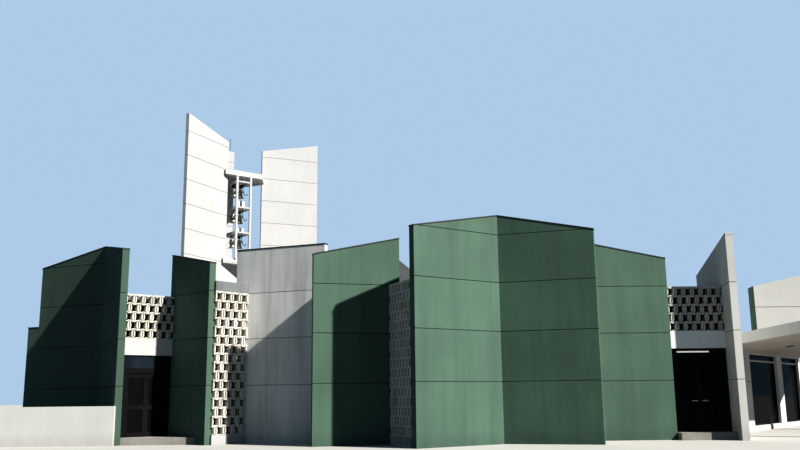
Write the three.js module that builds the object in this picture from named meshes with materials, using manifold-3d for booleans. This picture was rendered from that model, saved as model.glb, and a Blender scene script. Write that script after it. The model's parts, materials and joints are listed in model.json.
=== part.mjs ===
// A modern church: folded slab walls, block screens between them, two entrances,
// a porch with a glazed annex, and a tower of three tall slabs round a bell cage.
// Lengths are millimetres. X runs right along the front, Y away from the viewer, Z up.
// Each wall is listed from left to right as seen from outside, so its thickness lies
// to the left of the way it runs.
import * as THREE from "three";
import { mergeVertices } from "three/addons/utils/BufferGeometryUtils.js";
import Module from "manifold-3d";

const wasm = await Module();
wasm.setup();

// Driving dimensions
const LIFT = 1650;
const FIRST_JOINT = 2010;
const WALL = 250;
const SEAT = 0.4;
const RIDGE_FLAT = 1;
const OVER = 3000;

// Height of the top of pour number k, counted from the ground.
const lift = (k) => FIRST_JOINT + LIFT * (k - 1);

const LOW_TOP = 6320;
const SCREEN_TOP = lift(3);
const SLAB_TOP = lift(4);
const FOLD_TOP = 7650;
const LOW_END_TOP = 4520;
const PARAPET_RISE = 350;
const DOOR_HEAD = 3120;

const FLOOR_TOP = 250;
const STANDING = FLOOR_TOP + SEAT;
const ROOF_TOP = 5250;
const ROOF_DEPTH = 300;

const SCREEN_DEPTH = 200;
const BLOCK = 310;
const HOLE_SHARE = 0.48;
const HOLE_HEIGHT = 240;
const SCREEN_CAP = 40;

const CANOPY_BOTTOM = 3210;
const CANOPY_TOP = 3575;

const CAGE_FLOOR = [10680, 11050];
const CAGE_ROOF = [16980, 17370];

// Finishes
function finish(color, roughness, metalness = 0) {
  return new THREE.MeshStandardMaterial({ color, roughness, metalness });
}

const greenPaint = finish(0x4f7a5e, 0.6);
const paleConcrete = finish(0xb4b5ae, 0.85);
const whitePaint = finish(0xeeede6, 0.6);
const blockConcrete = finish(0xcfcbc0, 0.9);
const floorConcrete = finish(0x9c9a93, 0.9);
const roofSkin = finish(0x5c5f61, 0.9);
const zincSheet = finish(0x8f949b, 0.45, 0.6);
const doorPaint = finish(0x1c1d1f, 0.4);
const brightSteel = finish(0xb9bcc0, 0.3, 0.9);
const tintedGlass = finish(0x20262b, 0.1);
const bellBronze = finish(0x9c8a62, 0.4, 0.8);

const church = new THREE.Group();
church.name = "modern_church_building";

// Turns a closed geometry into a solid that can be joined and cut.
function solidFrom(geometry) {
  const bare = geometry.index ? geometry.toNonIndexed() : geometry.clone();
  bare.deleteAttribute("normal");
  bare.deleteAttribute("uv");
  const merged = mergeVertices(bare, 1e-3);
  return new wasm.Manifold(
    new wasm.Mesh({
      numProp: 3,
      vertProperties: new Float32Array(merged.attributes.position.array),
      triVerts: new Uint32Array(merged.index.array),
    }),
  );
}

function geometryFrom(solid) {
  const mesh = solid.getMesh();
  const geometry = new THREE.BufferGeometry();
  geometry.setAttribute("position", new THREE.BufferAttribute(mesh.vertProperties, 3));
  geometry.setIndex(new THREE.BufferAttribute(mesh.triVerts, 1));
  geometry.computeVertexNormals();
  return geometry;
}

function largestPiece(solid) {
  return solid.decompose().reduce((a, b) => (a.volume() > b.volume() ? a : b));
}

function addNode(name, geometry, material, parent = church) {
  const mesh = new THREE.Mesh(geometry, material);
  mesh.name = name;
  parent.add(mesh);
  return mesh;
}

function addSolid(name, solid, material, parent = church) {
  return addNode(name, geometryFrom(solid), material, parent);
}

function outlineShape(points) {
  return new THREE.Shape(points.map(([x, y]) => new THREE.Vector2(x, y)));
}

// An upright prism over a plan outline.
function prism(outline, bottom, top) {
  const geometry = new THREE.ExtrudeGeometry(outlineShape(outline), {
    depth: top - bottom,
    bevelEnabled: false,
  });
  return solidFrom(geometry.translate(0, 0, bottom));
}

function box(low, high) {
  const size = high.map((v, i) => v - low[i]);
  const middle = high.map((v, i) => (v + low[i]) / 2);
  return solidFrom(new THREE.BoxGeometry(...size).translate(...middle));
}

function joined(solids) {
  return solids.reduce((a, b) => a.add(b));
}

function direction([x0, y0], [x1, y1]) {
  const length = Math.hypot(x1 - x0, y1 - y0);
  return [(x1 - x0) / length, (y1 - y0) / length, length];
}

// The plan line moved to its left by a distance, with mitred corners and longer ends.
function shiftedLine(points, distance, extra) {
  return points.map(([x, y], i) => {
    const before = i > 0 ? direction(points[i - 1], points[i]) : null;
    const after = i < points.length - 1 ? direction(points[i], points[i + 1]) : null;
    const [ax, ay] = before ?? after;
    const [bx, by] = after ?? before;
    const mitre = distance / (1 + ax * bx + ay * by);
    const along = before === null ? -extra : after === null ? extra : 0;
    return [x - (ay + by) * mitre + ax * along, y + (ax + bx) * mitre + ay * along];
  });
}

function wallOutline(line, depth, extra = 0) {
  const outer = shiftedLine(line, -extra, extra);
  const inner = shiftedLine(line, depth + extra, extra);
  return [...outer, ...inner.reverse()];
}

// A block whose underside is the sloping top of one straight stretch of wall.
function aboveTop([x0, y0], [x1, y1], top0, top1) {
  const [, , length] = direction([x0, y0], [x1, y1]);
  const geometry = new THREE.BoxGeometry(length + 2 * OVER, 2 * OVER, OVER);
  geometry.translate(length / 2, 0, OVER / 2);
  geometry.rotateY(-Math.atan2(top1 - top0, length));
  geometry.rotateZ(Math.atan2(y1 - y0, x1 - x0));
  return solidFrom(geometry.translate(x0, y0, top0));
}

// A wall along a plan line, with a top height at each point of the line.
// A folded wall's ridge is taken down by a millimetre, which leaves a narrow flat there.
function wallSolid({ line, tops, bottom = 0, depth = WALL }, extra = 0) {
  const ridge = line.length > 2 && new Set(tops).size > 1 ? RIDGE_FLAT : 0;
  const crest = Math.max(...tops) - ridge;
  let solid = prism(wallOutline(line, depth, extra), bottom - extra, crest + extra);
  for (let i = 0; i + 1 < line.length; i++) {
    if (tops[i] === tops[i + 1]) continue;
    solid = solid.subtract(aboveTop(line[i], line[i + 1], tops[i] + extra, tops[i + 1] + extra));
  }
  return solid;
}

// Cuts a piece back to the faces of the walls it stands against.
function seatedAgainst(solid, walls) {
  return largestPiece(walls.reduce((rest, wall) => rest.subtract(wallSolid(wall, SEAT)), solid));
}

// Plan of the front walls, from the left folded wall to the fin beside the right doors.
const wallA = {
  line: [[-14940, -4580], [-11950, -5790], [-10000, -9590]],
  tops: [SLAB_TOP, FOLD_TOP, 6910],
};
const lowEnd = {
  line: [[-15460, -4364], [-14800, -4631]],
  tops: [LOW_END_TOP, LOW_END_TOP],
  depth: WALL - 10,
};
const wallB = { line: [[-8660, -7860], [-6760, -9940]], tops: [6920, LOW_TOP] };
const wallG = { line: [[-6060, -8560], [-2700, -9860]], tops: [SLAB_TOP, SLAB_TOP] };
const wallH = { line: [[-2920, -11520], [-40, -10710]], tops: [LOW_TOP, SLAB_TOP] };
const wallI = {
  line: [[430, -13140], [3340, -11100], [6400, -12110]],
  tops: [SLAB_TOP, FOLD_TOP, SLAB_TOP],
};
const wallJ = { line: [[6800, -9780], [9470, -9700]], tops: [6860, LOW_TOP] };
const finK = { line: [[11570, -10680], [12170, -5730]], tops: [SLAB_TOP + 95, 6200] };

const frontWalls = {
  green_wall_left: [wallB, greenPaint],
  pale_wall: [wallG, paleConcrete],
  green_wall_middle: [wallH, greenPaint],
  folded_wall_centre: [wallI, greenPaint],
  green_wall_right: [wallJ, greenPaint],
  entrance_fin: [finK, whitePaint],
};

// The left folded wall runs on past its high end as a short, lower piece.
addSolid("folded_wall_left", wallSolid(wallA).add(wallSolid(lowEnd)), greenPaint);
for (const [name, [wall, material]] of Object.entries(frontWalls)) {
  addSolid(name, wallSolid(wall), material);
}

// A screen of pierced blocks: every second course starts half a block further along.
function screenSolid(length, bottom, top, columns) {
  const courses = Math.floor((top - SCREEN_CAP - Math.max(bottom, FLOOR_TOP)) / BLOCK);
  const pitch = length / columns;
  const half = (pitch * HOLE_SHARE) / 2;
  const rib = (BLOCK - HOLE_HEIGHT) / 2;
  let solid = box([0, 0, bottom], [length, SCREEN_DEPTH, top]);
  for (let row = 0; row < courses; row++) {
    const high = top - SCREEN_CAP - row * BLOCK - rib;
    for (let x = row % 2 === 0 ? pitch / 2 : pitch; x + half < length - rib; x += pitch) {
      const from = [x - half, -SCREEN_DEPTH, high - HOLE_HEIGHT];
      solid = solid.subtract(box(from, [x + half, 2 * SCREEN_DEPTH, high]));
    }
  }
  return solid;
}

// Moves a solid made along X to the line that its wall follows.
function alongLine(solid, [start, end]) {
  const geometry = geometryFrom(solid);
  geometry.rotateZ(Math.atan2(end[1] - start[1], end[0] - start[0]));
  return solidFrom(geometry.translate(start[0], start[1], 0));
}

function addScreen(name, line, bottom, columns, walls) {
  const [, , length] = direction(...line);
  const solid = alongLine(screenSolid(length, bottom, SCREEN_TOP, columns), line);
  return addSolid(name, seatedAgainst(solid, walls), blockConcrete);
}

// Screens, lintels and parapet between the front walls.
const screen1 = [[-10060, -9400], [-8250, -7900]];
const screen2 = [[-6530, -9860], [-5560, -8770]];
const screenGH = [[-2800, -9870], [-2800, -11360]];
const screen3 = [[-560, -10460], [520, -12960]];
const screenIJ = [[6290, -11960], [6860, -9760]];
const screen4 = [[9480, -9560], [11500, -9560]];
const LINTEL_TOP = SCREEN_TOP - SCREEN_CAP - 5 * BLOCK;
const PLINTH_TOP = SCREEN_TOP - SCREEN_CAP - 16 * BLOCK;

function wallPiece(line, bottom, top, depth = SCREEN_DEPTH) {
  return { line, bottom, depth, tops: [top, top] };
}

function addFrontInfill() {
  addScreen("left_entrance_screen", screen1, LINTEL_TOP, 5.5, [wallA, wallB]);
  const lintel1 = wallSolid(wallPiece(screen1, DOOR_HEAD, LINTEL_TOP, WALL));
  addSolid("left_lintel", seatedAgainst(lintel1, [wallA, wallB]), whitePaint);
  const plinth = wallSolid(wallPiece(screen2, 0, PLINTH_TOP, WALL));
  addSolid("tall_screen_plinth", seatedAgainst(plinth, [wallB, wallG]), whitePaint);
  addScreen("tall_screen_left", screen2, PLINTH_TOP, 4, [wallB, wallG]);
  const parapet = wallSolid(wallPiece(screen2, SCREEN_TOP, SCREEN_TOP + PARAPET_RISE));
  addSolid("parapet", seatedAgainst(parapet, [wallB, wallG]), paleConcrete);
  addScreen("return_screen_left", screenGH, 0, 4.5, [wallG, wallH]);
  addScreen("tall_screen_middle", screen3, 0, 8.5, [wallH, wallI]);
  addScreen("return_screen_right", screenIJ, 0, 7, [wallI, wallJ]);
  addScreen("right_entrance_screen", screen4, LINTEL_TOP, 6.5, [wallJ, finK]);
  const lintel2 = wallSolid(wallPiece(screen4, DOOR_HEAD, LINTEL_TOP, WALL));
  addSolid("right_lintel", seatedAgainst(lintel2, [wallJ, finK]), paleConcrete);
}

addFrontInfill();

// Side and rear walls: slabs with sloping tops, joined under and over tall screens.
const SIDE_X = 12170;
const LEFT_X = wallA.line[0][0];
const REAR_Y = 14499.6;
const SIDE_SCREEN = 1860;
const SIDE_COLUMNS = 6;
const SIDE_SILL = 250;
const SIDE_CAP = 250;
const RIGHT_LOW = 5700;
const RIGHT_HIGH = 6860;

// Splits a straight run into slabs of equal length with a screen between each two.
function bayStarts(length, screens) {
  const slab = (length - screens * SIDE_SCREEN) / (screens + 1);
  return Array.from({ length: screens }, (_, i) => slab * (i + 1) + SIDE_SCREEN * i);
}

function bayWallSolid(length, screens, [low, high]) {
  const starts = bayStarts(length, screens);
  const cap = SCREEN_TOP + SIDE_CAP;
  const outline = [[0, 0], [length, 0]];
  const slabEnds = [...starts, length];
  const slabStarts = [0, ...starts.map((x) => x + SIDE_SCREEN)];
  for (let i = screens; i >= 0; i--) {
    outline.push([slabEnds[i], high], [slabStarts[i], low]);
    if (i > 0) outline.push([slabStarts[i], cap], [slabEnds[i - 1], cap]);
  }
  const geometry = new THREE.ExtrudeGeometry(outlineShape(outline), {
    depth: WALL,
    bevelEnabled: false,
  });
  const solid = solidFrom(geometry.rotateX(Math.PI / 2).translate(0, WALL, 0));
  return starts.reduce((rest, x) => {
    const hole = box([x, -WALL, SIDE_SILL], [x + SIDE_SCREEN, 2 * WALL, SCREEN_TOP]);
    return rest.subtract(hole);
  }, solid);
}

function addBayWall(name, line, screens, tops, fitting) {
  const [, , length] = direction(...line);
  const wall = alongLine(bayWallSolid(length, screens, tops), line);
  addSolid(name, seatedAgainst(wall, fitting), paleConcrete);
  bayStarts(length, screens).forEach((start, i) => {
    const low = SIDE_SILL + SEAT;
    const piece = screenSolid(SIDE_SCREEN - 2 * SEAT, low, SCREEN_TOP - SEAT, SIDE_COLUMNS);
    const placed = alongLine(piece.translate([start + SEAT, 0, 0]), line);
    addSolid(`${name}_screen_${i + 1}`, placed, blockConcrete);
  });
}

const leftRun = [[LEFT_X, REAR_Y], wallA.line[0]];
const rearRun = [[SIDE_X, REAR_Y], [LEFT_X, REAR_Y]];
const rightRun = [[SIDE_X, -5700], [SIDE_X, REAR_Y]];
const straight = (line) => ({ line, tops: [SLAB_TOP + OVER, SLAB_TOP + OVER] });

const sideTops = [LOW_TOP, SLAB_TOP];
const rightTops = [RIGHT_LOW, RIGHT_HIGH];

addBayWall("rear_wall", rearRun, 2, sideTops, []);
addBayWall("left_side_wall", leftRun, 2, sideTops, [wallA, lowEnd, straight(rearRun)]);
addBayWall("right_side_wall", rightRun, 1, rightTops, [finK, straight(rearRun)]);

// Floor and flat roof, cut back to the inner faces of every wall round them.
const perimeter = [
  [-14815, 14375], [-14815, -4470], [-11870, -5680], [-10250, -9000], [-8500, -7800],
  [-6680, -9760], [-5650, -8640], [-2700, -9730], [-2700, -11330], [-100, -10580],
  [500, -12930], [3340, -10960], [6200, -11950], [6750, -9660], [11350, -9460],
  [12020, -5700], [12045, 14375],
];
const surroundings = [
  wallA, wallB, wallG, wallH, wallI, wallJ, finK,
  straight(leftRun), straight(rearRun), straight(rightRun),
  ...[screen1, screen2, screenGH, screen3, screenIJ, screen4].map((line) =>
    wallPiece(line, 0, SLAB_TOP, WALL),
  ),
];

const LIGHT_WEST = -2800;
const LIGHT_EAST = 1000;
const LIGHT_FRONT = -2000;
const LIGHT_BACK = 9000;
const LIGHT_EAVES = 6630;
const LIGHT_RIDGE = 8230;
const LIGHT_SKIN = 120;

function addFloorAndRoof() {
  const floor = seatedAgainst(prism(perimeter, 0, FLOOR_TOP), surroundings);
  addSolid("nave_floor", floor, floorConcrete);
  const deck = seatedAgainst(prism(perimeter, ROOF_TOP - ROOF_DEPTH, ROOF_TOP), surroundings);
  const well = box([LIGHT_WEST + LIGHT_SKIN, LIGHT_FRONT + LIGHT_SKIN, 0],
    [LIGHT_EAST - LIGHT_SKIN, LIGHT_BACK - LIGHT_SKIN, LIGHT_RIDGE]);
  addSolid("flat_roof", deck.subtract(well), roofSkin);
}

function gableOutline(inset) {
  const middle = (LIGHT_WEST + LIGHT_EAST) / 2;
  return [
    [LIGHT_WEST + inset, -inset], [LIGHT_EAST - inset, -inset],
    [LIGHT_EAST - inset, LIGHT_EAVES - ROOF_TOP - inset / 2],
    [middle, LIGHT_RIDGE - ROOF_TOP - inset * 1.3],
    [LIGHT_WEST + inset, LIGHT_EAVES - ROOF_TOP - inset / 2],
  ];
}

function gablePrism(inset) {
  const geometry = new THREE.ExtrudeGeometry(outlineShape(gableOutline(inset)), {
    depth: LIGHT_BACK - LIGHT_FRONT - 2 * inset,
    bevelEnabled: false,
  });
  geometry.rotateX(Math.PI / 2);
  return solidFrom(geometry.translate(0, LIGHT_BACK - inset, ROOF_TOP));
}

addFloorAndRoof();
addSolid("roof_light", gablePrism(0).subtract(gablePrism(LIGHT_SKIN)), zincSheet);

// Entrances. A leaf's own frame has its hinge axis on Z.
const FRAME = 70;
const LEAF_DEPTH = 50;
const LEAF_GAP = 8;
const PIVOT_INSET = 6;
const HANDLE_INSET = 165;
const HANDLE_LENGTH = 200;
const HANDLE_HEIGHT = 1310;
const ARM_INSET = 30;
const FRAME_DEPTH = 120;
const JAMB_PACKING = 400;

const rightDoor = { left: 9580, right: 11260, front: -9400, head: DOOR_HEAD };
const leftDoor = { head: 2480, width: 1500, setBack: 60, leafBack: 90 };

function frameSolid(width, bottom, top, depth) {
  const outer = box([0, 0, bottom], [width, depth, top]);
  const inner = box([FRAME, -depth, bottom - FRAME], [width - FRAME, 2 * depth, top - FRAME]);
  return outer.subtract(inner);
}

function addRightDoors() {
  const { left, right, front, head } = rightDoor;
  const frame = frameSolid(right - left, STANDING, head - SEAT, FRAME_DEPTH);
  const back = front + FRAME_DEPTH;
  const packed = joined([
    frame.translate([left, front, 0]),
    box([left - JAMB_PACKING, front, STANDING], [left, back, head - SEAT]),
    box([right, front, STANDING], [right + JAMB_PACKING, back, head - SEAT]),
  ]);
  addSolid("right_door_frame", seatedAgainst(packed, [wallJ, finK]), doorPaint);
  const clear = right - left - 2 * FRAME;
  const leafWidth = clear / 2 - 2 * LEAF_GAP;
  const bottom = STANDING + LEAF_GAP;
  const top = head - FRAME - LEAF_GAP;
  for (const side of [1, -1]) {
    const label = side > 0 ? "left" : "right";
    const edge = side > 0 ? left + FRAME + LEAF_GAP : right - FRAME - LEAF_GAP;
    const hinge = new THREE.Group();
    hinge.position.set(edge + side * PIVOT_INSET, front + PIVOT_INSET, 0);
    const near = -side * PIVOT_INSET;
    const far = near + side * leafWidth;
    const panel = box([Math.min(near, far), -PIVOT_INSET, bottom],
      [Math.max(near, far), LEAF_DEPTH - PIVOT_INSET, top]);
    const leaf = joined([panel, pivotPin(STANDING, bottom), pivotPin(top, top + LEAF_GAP - SEAT)]);
    addSolid(`right_door_leaf_${label}`, leaf, doorPaint, hinge);
    addNode(`door_handle_${label}`, handleGeometry(far - side * HANDLE_INSET), brightSteel, hinge);
    church.add(hinge);
  }
}

// A short round pin on the hinge axis, sunk a little into the leaf's edge.
function pivotPin(bottom, top) {
  const sunk = LEAF_GAP;
  const pin = new THREE.CylinderGeometry(PIVOT_INSET, PIVOT_INSET, top - bottom + sunk, 16);
  const middle = bottom > DOOR_HEAD / 2 ? (top + bottom - sunk) / 2 : (top + bottom + sunk) / 2;
  return solidFrom(pin.rotateX(Math.PI / 2).translate(0, 0, middle));
}

// A level pull bar on two short arms that stand on the leaf's outer face.
function handleGeometry(x) {
  const rod = 15;
  const reach = 70;
  const face = PIVOT_INSET;
  const half = HANDLE_LENGTH / 2;
  const bar = new THREE.CylinderGeometry(rod, rod, HANDLE_LENGTH, 12).rotateZ(Math.PI / 2);
  const parts = [solidFrom(bar.translate(x, -face - reach, HANDLE_HEIGHT))];
  for (const end of [-1, 1]) {
    const arm = new THREE.CylinderGeometry(rod * 0.8, rod * 0.8, reach - SEAT, 12);
    arm.translate(x + end * (half - ARM_INSET), -face - (reach + SEAT) / 2, HANDLE_HEIGHT);
    parts.push(solidFrom(arm));
  }
  return geometryFrom(joined(parts));
}

// The left doors sit under the screen in a dark frame that fills the bay.
function addLeftDoors() {
  const { head, width, setBack, leafBack } = leftDoor;
  const [, , length] = direction(...screen1);
  const x0 = (length - width) / 2;
  const x1 = x0 + width;
  const panel = box([0, setBack, STANDING], [length, setBack + FRAME_DEPTH, DOOR_HEAD - SEAT]);
  const framed = alongLine(panel.subtract(box([x0, 0, 0], [x1, WALL, head])), screen1);
  addSolid("left_door_panel", seatedAgainst(framed, [wallA, wallB]), doorPaint);
  const low = [x0 + SEAT, leafBack, STANDING];
  const doors = box(low, [x1 - SEAT, leafBack + LEAF_DEPTH, head - SEAT]);
  addSolid("left_doors", alongLine(doors, screen1), doorPaint);
}

const stepLeft = [
  [-10200, -9450], [-7100, -9450], screen1[1], ...shiftedLine(screen1, WALL, 0).reverse(),
];
const stepRight = [[9480, -10100], [11500, -10100], [11500, -9310], [9480, -9310]];

function addSteps() {
  addSolid("left_step", seatedAgainst(prism(stepLeft, 0, FLOOR_TOP), [wallA, wallB]), floorConcrete);
  addSolid("right_step", seatedAgainst(prism(stepRight, 0, FLOOR_TOP), [wallJ, finK]), floorConcrete);
}

addRightDoors();
addLeftDoors();
addSteps();

// A low garden wall that runs left from the near end of the folded wall.
const lowWall = { line: [[-14600, -9700], [-9960, -9700]], tops: [1340, 1340], depth: 200 };
addSolid("low_front_wall", seatedAgainst(wallSolid(lowWall), [wallA]), whitePaint);

// Porch and annex on the right.
const ANNEX_RIGHT = 19600;
const ANNEX_BACK = 8000;
const ROOF_LAP = 200;
const WING_START = -450;
const WING_OUT = 4200;
const UNDER_RISE = 0.135;
const UPPER_RISE = 0.155;
const SPAN = 16000;
const POST = 300;
const ANNEX_FLOOR = 150;
const WINDOW_SILL = 200;
const WINDOW_HEAD = 3150;
const GLASS = 24;
const GLASS_LAP = 30;
const GLAZED_DEPTH = 180;

const canopyLimits = [
  [SIDE_X - WALL, -SPAN], [ANNEX_RIGHT + ROOF_LAP, -SPAN],
  [ANNEX_RIGHT + ROOF_LAP, ANNEX_BACK + ROOF_LAP], [SIDE_X - WALL, ANNEX_BACK + ROOF_LAP],
];
const glassLine = [[12050, -6837], [ANNEX_RIGHT, 2750]];
const annexBackLine = [[ANNEX_RIGHT, 2750], [ANNEX_RIGHT, ANNEX_BACK], [SIDE_X, ANNEX_BACK]];
const annexWalls = { line: annexBackLine, tops: [CANOPY_BOTTOM, CANOPY_BOTTOM, CANOPY_BOTTOM] };
const glazedWall = {
  line: glassLine,
  tops: [CANOPY_BOTTOM, CANOPY_BOTTOM],
  depth: GLAZED_DEPTH,
};

// Where each window starts and ends, measured along the glazed wall.
const windowSpans = [[4150, 8150], [8990, 11950]];

// The glazed wall stands on a low sill, with a pier between its two windows.
function glazedWallSolid() {
  return windowSpans.reduce((rest, [start, end]) => {
    const hole = box([start, -WALL, WINDOW_SILL], [end, 2 * WALL, WINDOW_HEAD]);
    return rest.subtract(alongLine(hole, glassLine));
  }, wallSolid(glazedWall));
}

// One sheet of glass behind the wall closes both windows.
function addGlass() {
  const near = GLAZED_DEPTH + SEAT;
  const low = [windowSpans[0][0] - GLASS_LAP, near, WINDOW_SILL - GLASS_LAP];
  const pane = box(low, [windowSpans[1][1] + GLASS_LAP, near + GLASS, WINDOW_HEAD + GLASS_LAP]);
  addSolid("annex_glass", alongLine(pane, glassLine), tintedGlass);
}

// The porch roof is level over the annex and rises outwards in front of the glazed wall.
function canopySolid() {
  const section = [
    [SPAN, CANOPY_BOTTOM], [0, CANOPY_BOTTOM],
    [-WING_OUT, CANOPY_BOTTOM + WING_OUT * UNDER_RISE],
    [-WING_OUT, CANOPY_TOP + WING_OUT * UPPER_RISE],
    [0, CANOPY_TOP], [SPAN, CANOPY_TOP],
  ];
  const geometry = new THREE.ExtrudeGeometry(outlineShape(section), {
    depth: 2 * SPAN,
    bevelEnabled: false,
  });
  geometry.rotateX(Math.PI / 2).rotateZ(Math.PI / 2).translate(WING_START, 0, 0);
  const sloping = alongLine(solidFrom(geometry), glassLine);
  const whole = sloping.intersect(prism(canopyLimits, 0, 2 * OVER));
  return seatedAgainst(whole, [finK, straight(rightRun)]);
}

// Posts under the outer edge of the porch roof, by the lower left corner of each.
const postCorners = [[15000, -9400], [19300, -4000]];

function addPosts(canopy) {
  postCorners.forEach(([x, y], i) => {
    const tall = box([x, y, 0], [x + POST, y + POST, CANOPY_BOTTOM + WING_OUT * UNDER_RISE]);
    const post = largestPiece(tall.subtract(canopy.translate(0, 0, -SEAT)));
    addSolid(`canopy_post_${i + 1}`, post, whitePaint);
  });
}

function addAnnex(canopy) {
  const side = straight(rightRun);
  addSolid("canopy_roof", canopy, whitePaint);
  const glazed = seatedAgainst(glazedWallSolid(), [finK, side, annexWalls]);
  addSolid("annex_glazed_wall", glazed, paleConcrete);
  addGlass();
  addSolid("annex_back_wall", seatedAgainst(wallSolid(annexWalls), [side]), paleConcrete);
  const floor = prism([glassLine[0], ...annexBackLine], 0, ANNEX_FLOOR);
  const fitted = seatedAgainst(floor, [finK, side, annexWalls, glazedWall]);
  addSolid("annex_floor", fitted, floorConcrete);
  addPosts(canopy);
}

// A raised wall over the annex, with a short green return.
const raisedWall = {
  line: [[15100, -3500], [ANNEX_RIGHT, -3500]],
  bottom: CANOPY_TOP,
  tops: [6030, 7000],
};
const raisedReturn = {
  line: [[15100, -2900], [15100, -3250]],
  bottom: CANOPY_TOP,
  tops: [6000, 6030],
};

// Cuts the foot of a wall to the slope of the porch roof that it stands on.
function standingOn(canopy, wall) {
  return largestPiece(wallSolid(wall).subtract(canopy.translate(0, 0, SEAT)));
}

const canopyRoof = canopySolid();
addAnnex(canopyRoof);
addSolid("raised_wall", standingOn(canopyRoof, raisedWall), whitePaint);
addSolid("raised_wall_return", standingOn(canopyRoof, raisedReturn), greenPaint);

// Tower: three tall slabs stand round a cage of bells.
const towerFront = { line: [[-13960, 14500], [-12100, 18550]], tops: [20240, 19430] };
const towerBase = {
  line: [[-12200, 18332], [-11350, 20190]],
  tops: [CAGE_FLOOR[0], CAGE_FLOOR[0]],
};
const towerRight = { line: [[-10100, 21000], [-6210, 22770]], tops: [19450, 20320] };
const towerBack = { line: [[-14900, 21300], [-12450, 22400]], tops: [20280, 19770] };
const deckOutline = [
  [-12150, 18000], [-9870, 19800], [-10000, 21400], [-12500, 22500], [-13300, 22100], [-13100, 21000],
];

function addTowerSlabs() {
  const foot = wallSolid(towerBase);
  addSolid("tower_slab_front", wallSolid(towerFront).add(foot), whitePaint);
  addSolid("tower_slab_right", wallSolid(towerRight), whitePaint);
  addSolid("tower_slab_back", wallSolid(towerBack), whitePaint);
  const low = prism(deckOutline, CAGE_FLOOR[0], CAGE_FLOOR[1]);
  const high = prism(deckOutline, CAGE_ROOF[0], CAGE_ROOF[1]);
  addSolid("cage_floor", seatedAgainst(low, [towerFront, towerRight, towerBack]), whitePaint);
  addSolid("cage_roof", seatedAgainst(high, [towerFront, towerRight, towerBack]), whitePaint);
}

// The bell cage has its own frame: x along its front, y to the back. Its two side
// frames and a middle beam carry two bells side by side at three heights.
const CAGE_CORNER = [-11420, 18500];
const CAGE_TURN = Math.atan2(0.625, 0.781);
const CAGE_POST = 140;
const CAGE_BAY = 530;
const CAGE_DEEP = 2000;
const CAGE_BEAM = 180;
const CROSS_BEAM = 100;
const PIVOT_HEIGHTS = [16550, 14700, 12900];
const BELL_MOUTH = 240;
const BELL_TALL = 620;
const BELL_DROP = 330;
const STOCK = 90;
const PIN = 22;
const BELL_SIDES = 24;

const cage = new THREE.Group();
cage.position.set(...CAGE_CORNER, 0);
cage.rotation.z = CAGE_TURN;
church.add(cage);

function cageFrameSolid() {
  const half = CAGE_POST / 2;
  const slim = CROSS_BEAM / 2;
  const low = CAGE_FLOOR[1] + SEAT;
  const high = CAGE_ROOF[0] - SEAT;
  const parts = [];
  for (const x of [0, 2 * CAGE_BAY]) {
    for (const y of [0, CAGE_DEEP]) {
      parts.push(box([x - half, y - half, low], [x + half, y + half, high]));
    }
  }
  for (const z of PIVOT_HEIGHTS) {
    for (const x of [0, CAGE_BAY, 2 * CAGE_BAY]) {
      const from = [x - slim, 0, z - CAGE_BEAM / 2];
      parts.push(box(from, [x + slim, CAGE_DEEP, z + CAGE_BEAM / 2]));
    }
    for (const y of [0, CAGE_DEEP]) {
      parts.push(box([0, y - slim, z - slim], [2 * CAGE_BAY, y + slim, z + slim]));
    }
  }
  return joined(parts);
}

// Half section of a bell, from its crown to its lip and back up inside.
// Each pair is a share of the bell's height and a share of its mouth's radius.
const BELL_OUTSIDE = [
  [0, 0], [0, 0.42], [0.06, 0.52], [0.3, 0.6], [0.6, 0.68], [0.85, 0.82], [1, 1],
];
const BELL_INSIDE = [[1, 0.88], [0.85, 0.72], [0.6, 0.58], [0.3, 0.5], [0.1, 0.38], [0.1, 0]];

// A bell with its headstock and pins; it swings about the local X axis.
function bellSolid() {
  const section = [...BELL_OUTSIDE, ...BELL_INSIDE].map(([share, wide]) =>
    new THREE.Vector2(wide * BELL_MOUTH, -BELL_DROP - BELL_TALL * share));
  const shell = new THREE.LatheGeometry(section.reverse(), BELL_SIDES).rotateX(Math.PI / 2);
  const half = (CAGE_BAY - CROSS_BEAM) / 2;
  const stock = box([-half + PIN, -STOCK / 2, -STOCK / 2], [half - PIN, STOCK / 2, STOCK]);
  const hanger = box([-STOCK, -STOCK / 3, -BELL_DROP - STOCK / 3], [STOCK, STOCK / 3, 0]);
  const pin = new THREE.CylinderGeometry(PIN, PIN, 2 * half - 2 * SEAT, 12).rotateZ(Math.PI / 2);
  return joined([solidFrom(shell), stock, hanger, solidFrom(pin)]);
}

function addBells() {
  const bell = bellSolid();
  PIVOT_HEIGHTS.forEach((z, row) => {
    for (let column = 0; column < 2; column++) {
      const mesh = addSolid(`bell_${row * 2 + column + 1}`, bell, bellBronze, cage);
      mesh.position.set(CAGE_BAY * (column + 0.5), CAGE_DEEP / 2, z);
    }
  });
}

addTowerSlabs();
addSolid("bell_cage_frame", cageFrameSolid(), whitePaint, cage);
addBells();

export default church;
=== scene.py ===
"""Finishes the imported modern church: pour joints, copings, block screens, doors, roof, annex and bells."""

import json
import math

import bmesh
import bpy
from bpy.props import FloatProperty, FloatVectorProperty, IntProperty, PointerProperty
from mathutils import Matrix, Vector


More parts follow.
